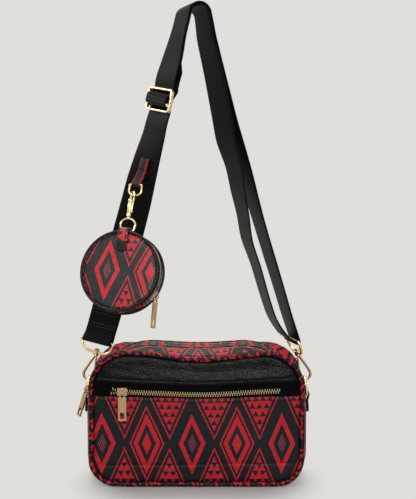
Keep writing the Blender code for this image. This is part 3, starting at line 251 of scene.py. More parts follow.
# The print is a lattice of tall diamonds: sizes in millimetres, bands as shares of a diamond's reach
motif = {
    "halfWidth": 23.2, "halfHeight": 53.3,
    "rowPitch": 8.3, "columnPitch": 7.5, "firstRow": 6.8, "triangleHeight": 5.8, "triangleHalf": 3.4,
    "ring": (0.395, 0.605), "line": (0.695, 0.765), "core": 0.215, "border": (0.865, 0.925), "body": 0.744,
    "hatched": 0.205, "hatchLines": 22.0, "hatchShare": 0.66,
}
# The piping shows slanting scraps of the print: lengths in millimetres
scraps = {"slant": 0.3, "stretch": 0.7, "scale": 250, "beat": 9.1, "beatShare": 0.05, "level": 0.575}


class Skin:
    # A material in the making, with the nodes that most finishes share
    def __init__(self, name):
        self.made = bpy.data.materials.new(name)
        self.made.use_nodes = True
        self.tree = self.made.node_tree
        self.shader = self.tree.nodes["Principled BSDF"]
        self.place = newNode(self.tree, "ShaderNodeTexCoord").outputs["Object"]
        self.normal = None

    def texture(self, kind, scale, output="Fac", at=None, **settings):
        at = self.place if at is None else at
        node = newNode(self.tree, "ShaderNodeTex" + kind, **settings, Vector=at, Scale=scale)
        return Wire(self.tree, node.outputs[output])

    def printWires(self):
        uv = newNode(self.tree, "ShaderNodeUVMap", uv_map="print")
        split = newNode(self.tree, "ShaderNodeSeparateXYZ", uv.outputs)
        return [Wire(self.tree, socket) for socket in split.outputs[:2]]

    def mix(self, share, a, b, kind="MIX"):
        a, b = ((*colour, 1) if isinstance(colour, tuple) else colour for colour in (a, b))
        wires = [share, None, None, None, None, None, a, b]
        return newNode(self.tree, "ShaderNodeMix", wires, data_type="RGBA", blend_type=kind).outputs[2]

    def tinted(self, colour, tone):
        grey = newNode(self.tree, "ShaderNodeCombineColor", [tone] * 3)
        return self.mix(1.0, colour, grey.outputs[0], "MULTIPLY")

    def paint(self, colour, rough, **inputs):
        # Other inputs go by their own names, joined up
        self.set("Base Color", colour)
        self.set("Roughness", rough)
        names = {"gloss": "Specular IOR Level", "sheen": "Sheen Weight", "sheenRough": "Sheen Roughness"}
        for key, value in inputs.items():
            self.set(names.get(key, key), value)

    def set(self, name, value):
        feed(self.tree, self.shader.inputs[name], value)

    def bump(self, height, strength, depth):
        # Each next bump lies over the one before; depth in millimetres
        node = newNode(self.tree, "ShaderNodeBump", Strength=strength, Distance=depth * mm, Height=height)
        feed(self.tree, node.inputs["Normal"], self.normal)
        self.normal = node.outputs[0]
        self.set("Normal", self.normal)


def between(wire, band):
    return (wire > band[0]) * (wire < band[1])


def diamondMasks(u, v):
    # 1 where the print is red, and 1 in the small muted diamonds
    # u and v are millimetres from an open diamond's middle
    s, t = u * (1 / motif["halfWidth"]), v * (1 / motif["halfHeight"])
    a, b = (s + t) * 0.5, (s - t) * 0.5
    ra, rb = a.do("ROUND"), b.do("ROUND")
    column = ra + rb
    ds, dt = s - column, t - (ra - rb)
    r = abs(ds) + abs(dt)
    filled = column.do("PINGPONG", 1.0)
    solid = (column * 0.5).do("PINGPONG", 1.0)
    solidDiamond = between(r, motif["line"]) + (r < motif["core"])
    hollow = (between(r, motif["ring"]) + solid * solidDiamond).do("MINIMUM", 1.0)
    # the filled diamond's rows of black triangles
    q = (motif["body"] - abs(dt)) * motif["halfHeight"] - motif["firstRow"]
    row = (q * (1 / motif["rowPitch"])).do("FLOOR")
    rest = q - row * motif["rowPitch"]
    x = ds * motif["halfWidth"] + row.do("PINGPONG", 1.0) * (motif["columnPitch"] / 2)
    off = abs(x - (x * (1 / motif["columnPitch"])).do("ROUND") * motif["columnPitch"])
    slant = motif["triangleHalf"] - rest * (motif["triangleHalf"] / motif["triangleHeight"])
    triangle = (off < slant) * (q > 0.0)
    full = between(r, motif["border"]) + (r < motif["body"]) * (1.0 - triangle)
    red = (1.0 - filled) * hollow + filled * full
    # the open diamond's small hatched middle
    across, down = (((way * motif["hatchLines"]).do("FRACT") < motif["hatchShare"]) for way in (a, b))
    muted = (r < motif["hatched"]) * (across * down) * (1.0 - filled.do("MAXIMUM", solid))
    return red, muted


def patchMask(skin, u, v):
    # The cord's bias-cut strip shows only slanting bits of the print; v runs along it, in millimetres
    leaning = v - u * scraps["slant"]
    spot = newNode(skin.tree, "ShaderNodeCombineXYZ", [leaning * mm, u * (scraps["stretch"] * mm)])
    patch = skin.texture("Noise", scraps["scale"], at=spot.outputs[0], Detail=0.0)
    beat = (leaning * (math.tau / scraps["beat"])).do("SINE")
    return patch + beat * scraps["beatShare"] > scraps["level"]


def makePrint(name, rough, grain, depth, lift, gloss, patches=False):
    # grain is in cells per metre
    skin = Skin(name)
    shake = (skin.texture("Noise", 260, Detail=2.0) - 0.5) * 0.6
    u, v = (wire * 100.0 + shake for wire in skin.printWires())
    red, muted = (patchMask(skin, u, v), 0.0) if patches else diamondMasks(u, v)
    cloud = skin.texture("Noise", 38, Detail=3.0)
    speck = skin.texture("Voronoi", grain, "Distance")
    coarse = skin.texture("Voronoi", grain * 0.42, "Distance")
    ink = skin.mix(muted, skin.mix(red, finish["black"], finish["red"]), finish["mutedRed"])
    tone = (0.86 + cloud * 0.28) * (0.90 + speck * 0.22) * (0.72 + coarse * 0.62) * lift
    skin.paint(skin.tinted(ink, tone), rough - 0.06 + cloud * 0.12, gloss=gloss)
    skin.bump(speck, 0.30, depth)
    skin.bump(coarse, 0.35, depth * 1.5)
    return skin.made


def makeLeather(name, colour, rough, pebble, depth, gloss=0.25):
    # Pebbled or smooth coated leather; pebble is in cells per metre
    skin = Skin(name)
    bend = skin.texture("Noise", pebble * 0.25, "Color", Detail=2.0)
    wide = newNode(skin.tree, "ShaderNodeVectorMath", [skin.place, (0.8, 1.0, 1.0)], operation="MULTIPLY")
    wires = [bend, (1.2 / pebble,) * 3, wide.outputs[0]]
    moved = newNode(skin.tree, "ShaderNodeVectorMath", wires, operation="MULTIPLY_ADD").outputs[0]
    cells = skin.texture("Voronoi", pebble, "Distance", moved, feature="SMOOTH_F1", Smoothness=0.55)
    small = skin.texture("Voronoi", pebble * 2.7, "Distance", moved)
    cloud = skin.texture("Noise", 26, Detail=3.0)
    tone = (0.85 + cloud * 0.3) * (1.25 - cells).do("SMOOTH_MIN", 1.0, 0.3)
    skin.paint(skin.tinted(finish[colour], tone), rough - 0.08 + cloud * 0.16, gloss=gloss)
    skin.bump((cells + small * 0.25) * -1.0, 0.75, depth)
    return skin.made


def makeWoven(name, colour, rough, ribs, picks, depth, sheen=0.03, gloss=0.04):
    # Woven strap or tape; ribs run lengthwise and picks across, both counted per 100 mm
    skin = Skin(name)
    along, across = (wire * (count * math.tau) for wire, count in zip(skin.printWires(), (picks, ribs)))
    weave = across.do("SINE") * 0.6 + (along + across).do("SINE") * along.do("SINE") * 0.5
    cloud = skin.texture("Noise", 45, Detail=3.0)
    fuzz = skin.texture("Noise", 2600, Detail=2.0)
    tone = (0.78 + cloud * 0.44) * (0.92 + weave * 0.10)
    colour = skin.tinted(finish[colour], tone)
    skin.paint(colour, rough - 0.05 + fuzz * 0.10, gloss=gloss, sheen=sheen, sheenRough=0.45)
    skin.bump(weave * 0.5 + fuzz * 0.5, 0.5, depth)
    return skin.made


def makeMetal(name, colour, rough, tarnish):
    skin = Skin(name)
    cloud = skin.texture("Noise", 120, Detail=4.0)
    share = (cloud - 0.45).do("SMOOTH_MAX", 0.0, 0.1) * (tarnish * 2)
    colour = skin.mix(share, finish[colour], finish["darkBrass"])
    skin.paint(colour, rough - 0.05 + cloud * 0.12, Metallic=1.0)
    skin.bump(skin.texture("Noise", 2400, Detail=3.0), 0.10, 0.02)
    return skin.made


def makeThread(name, colour):
    skin = Skin(name)
    ply = skin.texture("Wave", 900)
    skin.paint(skin.mix(ply, tuple(c * 0.7 for c in finish[colour]), finish[colour]), 0.55)
    skin.bump(ply, 0.4, 0.05)
    return skin.made


printedLeather = makePrint("printed leather", 0.46, 1300, 0.17, 0.85, 0.13)
pipingLeather = makePrint("printed piping", 0.42, 1300, 0.13, 0.85, 0.10, patches=True)
pouchLeather = makePrint("printed pouch leather", 0.40, 1100, 0.24, 1.05, 0.44)
yokeLeather = makeLeather("pebbled leather", "yoke", 0.29, 640, 0.33, gloss=0.085)
smoothLeather = makeLeather("smooth black leather", "yoke", 0.42, 1300, 0.08)
redEdge = makeLeather("red edge", "red", 0.5, 900, 0.05)
webbingCloth = makeWoven("strap webbing", "webbing", 0.40, 72, 95, 0.10, sheen=0.0, gloss=0.045)
tapeCloth = makeWoven("zip tape", "tape", 0.75, 130, 130, 0.06, sheen=0.01, gloss=0.02)
liningCloth = makeWoven("lining cloth", "lining", 0.80, 220, 220, 0.04)
brass = makeMetal("pale brass", "brass", 0.27, 0.30)
agedBrass = makeMetal("aged brass", "agedBrass", 0.22, 0.60)
toothBrass = makeMetal("zip tooth brass", "brass", 0.30, 0.30)
blackThread = makeThread("black thread", "thread")
print("finishes ready")


# Mesh helpers


def addPiece(mesh, material, node=None, body=bagBody, slotName=None, sharp=40):
    # A piece has its mesh's name, and the given material unless its mesh has materials already. slotName is
    # not used
    piece = addObject(mesh.name, mesh)
    if not mesh.materials:
        mesh.materials.append(material)
    for face in mesh.polygons:
        face.use_smooth = True
    if sharp:
        mesh.set_sharp_from_angle(angle=math.radians(sharp))
    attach(piece, body)
    if node:
        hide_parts(node)


def meshFrom(name, verts, faces, uv=None):
    # verts in millimetres; uv is a pair for each corner of each face. A closed shell ends up facing outward
    mesh = bpy.data.meshes.new(name)
    mesh.from_pydata((verts * mm).tolist(), [], faces)
    if uv is not None:
        mesh.uv_layers.new(name="print").data.foreach_set("uv", uv.astype(np.float32).ravel())
    shape = bmesh.new()
    shape.from_mesh(mesh)
    if all(edge.is_manifold for edge in shape.edges) and shape.calc_volume(signed=True) < 0:
        bmesh.ops.reverse_faces(shape, faces=shape.faces[:])
        shape.to_mesh(mesh)
    shape.free()
    return mesh


def squares(grid):
    # The four corners of each square of a grid, of numbers or of points
    four = [grid[:-1, :-1], grid[1:, :-1], grid[1:, 1:], grid[:-1, 1:]]
    return np.stack(four, 2).reshape(-1, 4, *grid.shape[2:])


def gridMesh(name, rows, uv=None, loop=False):
    # rows is (n, m, 3). Each row closes, and the rows close in a loop or with flat ends; uv covers the seams
    n, m = rows.shape[:2]
    grid = np.pad(np.arange(n * m).reshape(n, m), ((0, int(loop)), (0, 1)), mode="wrap")
    faces = squares(grid).tolist()
    flat = None if uv is None else squares(uv).reshape(-1, 2)
    if not loop:
        faces += [grid[0, :m].tolist(), grid[-1, m - 1 :: -1].tolist()]
        if uv is not None:
            flat = np.concatenate([flat, uv[0, :m], uv[-1, m - 1 :: -1]])
    return meshFrom(name, rows.reshape(-1, 3), faces, flat)


def shellMesh(name, front, back, uv):
    # A closed sheet between two equal grids of points
    n, m = front.shape[:2]
    grid = np.arange(n * m).reshape(n, m)
    quad = squares(grid)
    rim = np.concatenate([grid[0], grid[1:, -1], grid[-1, -2::-1], grid[-2:0:-1, 0]])
    edge = np.stack([rim, np.roll(rim, -1), np.roll(rim, -1) + n * m, rim + n * m], -1)
    faces = np.concatenate([quad, quad[:, ::-1] + n * m, edge])
    flat = np.concatenate([uv.reshape(-1, 2)] * 2)[faces.ravel()]
    return meshFrom(name, np.concatenate([front.reshape(-1, 3), back.reshape(-1, 3)]), faces.tolist(), flat)


def joinMeshes(name, meshes):
    shape = bmesh.new()
    for mesh in meshes:
        shape.from_mesh(mesh)
        bpy.data.meshes.remove(mesh)
    made = bpy.data.meshes.new(name)
    shape.to_mesh(made)
    shape.free()
    return made


def directions(points, closed=False):
    run = np.roll(points, -1, 0) - np.roll(points, 1, 0) if closed else np.gradient(points, axis=0)
    return run / np.linalg.norm(run, axis=1)[:, None]


def lengths(points, closed=False):
    if closed:
        points = np.vstack([points, points[:1]])
    return np.concatenate([[0.0], np.cumsum(np.linalg.norm(np.diff(points, axis=0), axis=1))])


def resample(points, count, closed=False):
    # count equal steps along an open run, or round a closed one
    points = np.asarray(points, float)
    if closed:
        points = np.vstack([points, points[:1]])
    run = lengths(points)
    at = np.linspace(0, run[-1], count + 1)
    made = np.stack([np.interp(at, run, points[:, k]) for k in range(points.shape[1])], 1)
    return made[:-1] if closed else made


def smoothRun(points, steps, closed=False):
    # A Catmull-Rom curve through the points
    points = [np.asarray(point, float) for point in points]
    if closed:
        ends = [points[-1], *points, points[0], points[1]]
    else:
        ends = [points[0] * 2 - points[1], *points, points[-1] * 2 - points[-2]]
    made = []
    for a, b, c, d in zip(ends, ends[1:], ends[2:], ends[3:]):
        square, cube = a * 2 - b * 5 + c * 4 - d, b * 3 - a - c * 3 + d
        for t in np.arange(steps) / steps:
            made.append((b * 2 + (c - a) * t + square * t * t + cube * t**3) / 2)
    return np.array(made if closed else made + [points[-1]])


def arcPoints(u, v, radius, start, end, steps):
    turns = np.radians(np.linspace(start, end, steps + 1))
    return np.stack([u + radius * np.cos(turns), v + radius * np.sin(turns)], 1)


def vector(*values):
    return np.array(values, float)


def unit(way):
    way = np.asarray(way, float)
    return way / np.linalg.norm(way)


def turned(points, origin, u, v):
    # Flat (u, v) points laid out along two directions from an origin
    points = np.asarray(points, float)
    return np.asarray(origin) + points[:, :1] * np.asarray(u) + points[:, 1:] * np.asarray(v)


def carried(along, start):
    # One side direction for each point, turned as little as possible from the last
    side = np.asarray(start, float)
    sides = []
    for tangent in along:
        side = unit(side - tangent * side.dot(tangent))
        sides.append(side)
    return np.array(sides)


domeAngles = np.radians([80, 60, 35])  # the rings of a bar's rounded end


def tubeRows(points, radius, closed=False, sides=16, side=None, roundEnds=True):
    # Rings round a bar; radius may be one number for each point
    points = np.asarray(points, float)
    along = directions(points, closed)
    if side is None:
        side = np.cross(along[0], (0.31, 0.52, 0.79))
    across = carried(along, side)
    if closed:  # spread what the last ring is turned by over the loop
        third = np.cross(along, across)
        last = across[-1] - along[0] * across[-1].dot(along[0])
        slip = math.atan2(last.dot(third[0]), last.dot(across[0]))
        turn = -slip * np.arange(len(points)) / len(points)
        across = across * np.cos(turn)[:, None] + third * np.sin(turn)[:, None]
    radius = np.broadcast_to(np.asarray(radius, float), (len(points),))
    if roundEnds and not closed:
        start, end = (np.outer(np.sin(domeAngles) * radius[i], along[i]) for i in (0, -1))
        points = np.vstack([points[0] - start, points, (points[-1] + end)[::-1]])
        small = np.cos(domeAngles)
        radius = np.concatenate([radius[0] * small, radius, (radius[-1] * small)[::-1]])
        across, along = (np.vstack([[ways[0]] * 3, ways, [ways[-1]] * 3]) for ways in (across, along))
    third = np.cross(along, across)
    turns = (math.tau * np.arange(sides) / sides)[None, :, None]
    ring = np.cos(turns) * across[:, None] + np.sin(turns) * third[:, None]
    return points[:, None, :] + ring * radius[:, None, None]


def tubeMesh(name, points, radius, closed=False, **more):
    return gridMesh(name, tubeRows(points, radius, closed, **more), loop=closed)


def lathe(name, profile, origin, way, sides=24):
    # A turned part from pairs of height and radius
    profile = np.array(profile)
    return tubeMesh(name, origin + np.outer(profile[:, 0], way), profile[:, 1], sides=sides, roundEnds=False)


def stripPrint(run, across):
    # Print coordinates for a strip, from its lengths along and across in millimetres
    return np.stack(np.broadcast_arrays(run[:, None], across[None, :]), -1) / 100


def ribbonRows(centres, widths, width, thickness, crown):
    # A flat strip with rounded edges. widths are vectors, shorter where the strip narrows
    centres, widths = np.asarray(centres, float), np.asarray(widths, float)
    lift = np.cross(directions(centres), widths)
    lift = lift / np.linalg.norm(lift, axis=1)[:, None]
    half, tall = width / 2, thickness / 2
    top = [(half - tall * (1 - math.cos(a)), tall * math.sin(a)) for a in np.radians([10, 35, 60, 90])]
    middle = [(half * k, tall + crown * (1 - k * k)) for k in (0.8, 0.5, 0.25, 0, -0.25, -0.5, -0.8)]
    upper = top + middle + [(-u, v) for u, v in reversed(top)]
    ring = np.array(upper + [(u, -v) for u, v in reversed(upper)])
    rows = centres[:, None] + widths[:, None] * ring[None, :, :1] + lift[:, None] * ring[None, :, 1:]
    return rows, stripPrint(lengths(centres), np.append(ring[:, 0], ring[0, 0]))


def ripple(points, scale, seed):
    # A smooth, repeatable unevenness from about -1 to 1, with waves of about that size
    chance = np.random.default_rng(seed)
    total = 0
    for _ in range(6):
        way = chance.normal(size=3)
        wave = scale * chance.uniform(0.7, 1.6)
        run = points @ way / np.linalg.norm(way) * math.tau / wave
        total = total + np.sin(run + chance.uniform(0, math.tau))
    return total / 4


# Stitches and teeth

stitch = {"pitch": 3.3, "length": 2.5, "width": 0.55, "height": 0.42}
tooth = {"pitch": 1.24, "spread": 0.9, "reach": 1.3, "height": 0.95, "length": 0.74, "slant": 0.12}


def repeatTree(shape):
    # Places a stitch or a tooth on each point, turned to the point's own directions
    tree = bpy.data.node_groups.new("repeat " + shape, "GeometryNodeTree")
    tree.is_modifier = True
    for name, kind in (("Geometry", "Geometry"), ("Size", "Vector"), ("Finish", "Material")):
        tree.interface.new_socket(name, in_out="INPUT", socket_type="NodeSocket" + kind)
    tree.interface.new_socket("Geometry", in_out="OUTPUT", socket_type="NodeSocketGeometry")
    given = newNode(tree, "NodeGroupInput").outputs
    ways = []
    for name in ("along", "up"):
        way = newNode(tree, "GeometryNodeInputNamedAttribute", data_type="FLOAT_VECTOR", Name=name)
        ways.append(way.outputs["Attribute"])
    turn = newNode(tree, "FunctionNodeAxesToRotation", ways, primary_axis="X", secondary_axis="Z")
    if shape == "stitch":
        one = newNode(tree, "GeometryNodeMeshUVSphere", Segments=8, Rings=5, Radius=0.5)
    else:
        rod = newNode(tree, "GeometryNodeMeshCylinder", Vertices=8, Radius=0.5, Depth=1.0)
        lying = (math.pi / 2, 0, 0)
        one = newNode(tree, "GeometryNodeTransform", Geometry=rod.outputs["Mesh"], Rotation=lying)
    copies = newNode(tree, "GeometryNodeInstanceOnPoints", Points=given["Geometry"], Instance=one.outputs[0],
                     Rotation=turn.outputs[0], Scale=given["Size"])
    real = newNode(tree, "GeometryNodeRealizeInstances", copies.outputs[:1])
    painted = newNode(tree, "GeometryNodeSetMaterial", real.outputs[:1], Material=given["Finish"])
    newNode(tree, "NodeGroupOutput", painted.outputs[:1])
    return tree


repeatTrees = {shape: repeatTree(shape) for shape in ("stitch", "tooth")}


def repeatShape(name, shape, points, along, up, size, material, **more):
    # size is along, across and up, in millimetres
    mesh = bpy.data.meshes.new(name + "Places")
    mesh.from_pydata((points * mm).tolist(), [], [])
    for key, ways in (("along", along), ("up", up)):
        layer = mesh.attributes.new(key, "FLOAT_VECTOR", "POINT")
        layer.data.foreach_set("vector", np.asarray(ways, np.float32).ravel())
    holder = addObject(name + "Places", mesh)
    modifier = holder.modifiers.new("repeat", "NODES")
    modifier.node_group = repeatTrees[shape]
    items = [item for item in modifier.node_group.interface.items_tree if item.in_out == "INPUT"]
    sockets = {item.name: item.identifier for item in items}
    modifier[sockets["Size"]] = [value * mm for value in size]
    modifier[sockets["Finish"]] = material
    bpy.context.view_layer.update()
    seen = holder.evaluated_get(bpy.context.evaluated_depsgraph_get())
    made = bpy.data.meshes.new_from_object(seen)
    holder.modifiers.clear()
    bpy.data.objects.remove(holder, do_unlink=True)
    bpy.data.meshes.remove(mesh)
    made.name = name
    addPiece(made, material, **more)


def spaced(path, up, pitch, closed=False, least=1):
    # Even places on a path and their up directions; up is one for all the path or one for each point
    path = np.asarray(path, float)
    up = np.broadcast_to(np.asarray(up, float), path.shape)
    count = max(int(lengths(path, closed)[-1] / pitch), least)
    both = resample(np.hstack([path, up]), count, closed)
    return both[:, :3], both[:, 3:], directions(both[:, :3], closed)


def stitchLine(name, path, up, pitch=stitch["pitch"], closed=False, **more):
    spots, ups, along = spaced(path, up, pitch, closed, 2)
    size = (stitch["length"] * pitch / stitch["pitch"], stitch["width"], stitch["height"])
    repeatShape(name, "stitch", spots, along, ups, size, blackThread, **more)


def toothRun(name, path, up, node, body=bagBody, spread=None, height=tooth["height"]):
    # Two rows of teeth that mesh: each next tooth comes from the other side
    spots, ups, along = spaced(path, up, tooth["pitch"])
    across = np.cross(ups, along)
    turn = np.where(np.arange(len(spots)) % 2, 1.0, -1.0)[:, None]
    apart = spread(spots)[:, None] if spread else tooth["spread"]
    size = (tooth["pitch"] * tooth["length"], 2 * tooth["reach"], height)
    slanted = along + across * turn * tooth["slant"]
    spots = spots + across * turn * apart
    repeatShape(name, "tooth", spots, slanted, ups, size, toothBrass, node=node, body=body)


print("helpers ready")


# The bag's shape, in millimetres

gap = 0.3
bag = {
    "halfDepth": 37.0, "piping": 2.6, "face": 38.4, "sheet": 1.2, "seamHeight": 88.0,
    "dipCentre": 4.0, "dipReach": 72.0, "bowReach": 105.0,
}
topZip = {
    "y": 15.5, "tapeHalf": 4.6, "tapeUnder": 2, "tapeThick": 0.6, "chain": -0.60, "tape": -1.45,
    "stitchIn": 2, "stitchLift": 0.34,
}
inset = bag["piping"] + gap  # a panel's edge lies this far inside the piping's centre
crowding = 0.6  # how far a panel's rows of points move towards its edges
# The whole bag's slow unevenness, which spares the places with metal on them, and the floor
drift = {"wave": 75, "amount": 0.8, "floorRise": 20, "metalReach": 26}
metalPlaces = ((-76.6, -38, 98), (-110.7, -15.5, 92), (-110.7, 15.5, 92), (-114, 0, 82), (114, 0, 82))


def shapeOf(halfWidth, top, topCorner, base, baseCorner, dip):
    names = ("halfWidth", "top", "topCorner", "base", "baseCorner", "dip")
    return dict(zip(names, (halfWidth, top, topCorner, base, baseCorner, dip)))


frontShape = shapeOf(109.0, 140.2, 38.0, 2.9, 26.0, 6.7)
rearShape = shapeOf(109.0, 137.4, 36.0, 2.9, 26.0, 3.2)
middleShape = shapeOf(114.0, 144.5, 70.0, 0.0, 35.0, 2.8)


def dipAt(x):
    reach = np.minimum(np.abs(x - bag["dipCentre"]) / bag["dipReach"], 1.0)
    return (1 + np.cos(math.pi * reach)) / 2


def sidesOf(shape, offset):
    half, low, high = shape["halfWidth"] + offset, shape["base"] - offset, shape["top"] + offset
    return half, low, high, shape["baseCorner"] + offset, shape["topCorner"] + offset


def perimeter(shape, offset=0.0):
    half, low, high, small, big = sidesOf(shape, offset)
    lower = arcPoints(half - small, low + small, small, -90, 0, 20)
    rise = np.stack([np.full(9, half), np.linspace(low + small, high - big, 11)[1:-1]], 1)
    upper = arcPoints(half - big, high - big, big, 0, 90, 36)
    top = np.stack([np.linspace(half - big, 0, 25)[1:], np.full(24, high)], 1)
    side = np.vstack([lower, rise, upper, top])
    points = np.vstack([[(0.0, low)], side, side[-2::-1] * (-1, 1)])
    points[:, 1] -= np.where(points[:, 1] > (low + high) / 2, shape["dip"] * dipAt(points[:, 0]), 0)
    return points


def cutAt(points, height, upper):
    # The run of a closed outline above a height, from right to left, or below it, from left to right
    after = np.roll(points, -1, 0)
    first, second = np.nonzero((points[:, 1] - height) * (after[:, 1] - height) < 0)[0]
    ends = []
    for a, b in ((points[i], after[i]) for i in (first, second)):
        ends.append(a + (b - a) * (height - a[1]) / (b[1] - a[1]))
    if upper:
        return np.vstack([[ends[0]], points[first + 1 : second + 1], [ends[1]]])
    return np.vstack([[ends[1]], points[second + 1 :], points[: first + 1], [ends[0]]])


def halfWidthAt(shape, z):
    half, low, high, small, big = sidesOf(shape, -inset)
    lower = np.clip(low + small - z, 0, small)
    upper = np.clip(z - (high - big), 0, big)
    return half - small - big + np.sqrt(small**2 - lower**2) + np.sqrt(big**2 - upper**2)


def edgeDistance(shape, x, z):
    # How far inside a panel's outline a point is, on the outline without its dip
    half, low, high, small, big = sidesOf(shape, -inset)
    x = np.abs(x)
    found = np.minimum(half - x, np.minimum(high - z, z - low))
    upper = big - np.hypot(x - (half - big), z - (high - big))
    lower = small - np.hypot(x - (half - small), z - (low + small))
    found = np.where((x > half - big) & (z > high - big), upper, found)
    found = np.where((x > half - small) & (z < low + small), lower, found)
    return np.clip(found, 0, None)


def drifted(points):
    flat = np.asarray(points, float).reshape(-1, 3)
    fade = np.clip(flat[:, 2] / drift["floorRise"], 0, 1)
    for place in metalPlaces:
        fade = fade * (1 - np.exp(-((flat - place) ** 2).sum(1) / drift["metalReach"] ** 2))
    move = np.stack([ripple(flat, drift["wave"], seed) for seed in (11, 12, 13)], 1)
    return (flat + move * drift["amount"] * fade[:, None]).reshape(np.shape(points))


def closer(count):
    # Steps from 0 to 1, closer together near both ends
    even = np.linspace(0, 1, count)
    return even * (1 - crowding) + crowding * (1 - np.cos(math.pi * even)) / 2


def spotAt(x, z):
    return np.stack([x, 0 * x, z], -1)


def hump(value, width):
    # 1 at no distance, falling off softly on both sides
    return np.exp(-((value / width) ** 2))


def decay(distance, amount, reach):
    return amount * np.exp(-distance / reach)


def uneven(spot, amount, wave, seed):
    return amount * ripple(spot, wave, seed)


def panelGrid(shape, low, high, down, across, extra=0.0):
    # Points all over a panel, closer together near its outline
    z = (low + (high - low) * closer(down))[:, None]
    x = (2 * closer(across) - 1)[None, :] * (halfWidthAt(shape, z) - extra)
    return x, z + 0 * x


def dipped(shape, x, z, low, high):
    share = np.clip((z - (low + high) / 2) / ((high - low) / 2), 0, 1)
    return z - shape["dip"] * dipAt(x) * share**2


def frontBow(x):
    return np.clip(1 - (x / bag["bowReach"]) ** 2, 0, 1)


# The front: pocket panel, yoke and the zip between them

# For each panel, tuck is the amount and reach of the pull at its seam, and it is flat within a distance
# of it; slow, pucker and fine are unevenness by amount, wave and seed
pocket = {
    "top": 95.7, "bow": 2.1, "crown": 1.0, "flatWithin": 12, "tuck": (1.5, 1.4),
    "creaseHeight": 24.0, "creaseLean": 0.012, "creaseDepth": 0.5, "creaseWidth": 1.5,
    "slow": (0.40, 40, 3), "pucker": (0.30, 10, 4), "puckerReach": 6,
    "stitchHalf": 103, "stitchDrop": 1.2, "stitchLift": 0.68,
}
# The fold along the pocket's top edge: height above the edge and rise off the panel
pocketFold = (
    (-4.6, 0.05), (-4.6, 0.6), (-4.1, 0.95), (-3.0, 1.0), (-1.7, 0.9), (-1.2, 0.6), (-0.7, 0.9), (-0.2, 0.8),
    (0.05, 0.45), (0.05, 0.05),
)
yoke = {
    "edge": 111.2, "bow": 4.6, "halfWidth": 104.6, "lift": 0.2, "flatWithin": 14, "tuck": (1.6, 1.4),
    "roll": 2.3, "rollHeight": 5.5, "rollWidth": 6.5, "rollLeast": 0.40, "fullAt": 22, "fullWidth": 55,
    "stitchHalf": 100, "stitchHeight": 3.6, "stitchLift": 0.08, "stitchDip": 0.35, "stitchDipWidth": 0.7,
    "edgeTurn": (0.8, 0.5), "slow": (0.50, 42, 7), "slowFrom": 6, "slowStretch": (0.6, 1, 1.2),
    "pucker": (0.35, 12, 8), "puckerReach": 7, "fine": (0.10, 5, 9), "fineStretch": (0.45, 1, 1),
}
frontTape = {
    "halfWidth": 105.5, "y": -36.95, "thick": 0.6, "below": 3.0, "above": 2.6,
    "side": 100, "sideTop": 110.5,
}
chain = {
    "height": 102.1, "bow": 4.3, "left": -87.5, "right": 85.5, "y": -37.75, "tall": 1.1,
    "spread": 1.15, "openFrom": -82.0, "openOver": 4, "openSpread": 1.2,
}
printMiddle = (5.1, 46.1)


def pocketPoint(x, z, lift=0.0):
    x, z = np.broadcast_arrays(np.asarray(x, float), np.asarray(z, float))
    low = frontShape["base"] + inset
    share = np.clip((z - low) / (pocket["top"] - low), 0, 1.02)
    d = edgeDistance(frontShape, x, z)
    spot = spotAt(x, z)
    inner = np.clip(d / pocket["flatWithin"], 0, 1)
    y = -bag["face"] - pocket["crown"] * np.sin(math.pi * np.clip(share, 0, 1)) * frontBow(x)
    y = y + decay(d, *pocket["tuck"])
    crease = z - pocket["creaseHeight"] - pocket["creaseLean"] * x
    y = y + pocket["creaseDepth"] * hump(crease, pocket["creaseWidth"]) * inner
    y = y + uneven(spot, *pocket["slow"]) * inner
    y = y + uneven(spot, *pocket["pucker"]) * decay(d, 1, pocket["puckerReach"])
    return np.stack([x, y - lift, z - pocket["bow"] * frontBow(x) * share**3], -1)


def yokeEdge(x):
    return yoke["edge"] - yoke["bow"] * frontBow(x)


def yokePoint(x, z, lift=0.0):
    above = z - yokeEdge(x)
    d = edgeDistance(frontShape, x, z + frontShape["dip"] * dipAt(x))
    spot = spotAt(x, z)
    inner = np.clip(d / yoke["flatWithin"], 0, 1)
    least, full = yoke["rollLeast"], hump(x - yoke["fullAt"], yoke["fullWidth"])
    roll = yoke["roll"] * hump(above - yoke["rollHeight"], yoke["rollWidth"])
    roll = roll * (least + (1 - least) * full) * inner
    y = -bag["face"] - yoke["lift"] - roll + decay(d, *yoke["tuck"])
    y = y + yoke["stitchDip"] * hump(above - yoke["stitchHeight"], yoke["stitchDipWidth"])
    y = y + decay(above, *yoke["edgeTurn"])
    slow = uneven(spot * yoke["slowStretch"], *yoke["slow"])
    y = y + slow * inner * np.clip(above / yoke["slowFrom"], 0, 1)
    y = y + uneven(spot, *yoke["pucker"]) * decay(d, 1, yoke["puckerReach"])
    y = y + uneven(spot * yoke["fineStretch"], *yoke["fine"]) * inner
    return np.stack([x, y - lift, z], -1)


def printAt(x, z):
    return np.stack(np.broadcast_arrays(x + printMiddle[0], z - printMiddle[1]), -1) / 100


def teethSpread(spots):
    # The front zip's two rows part at its open end
    parted = np.clip((chain["openFrom"] - spots[:, 0]) / chain["openOver"], 0, 1)
    return chain["spread"] + chain["openSpread"] * parted


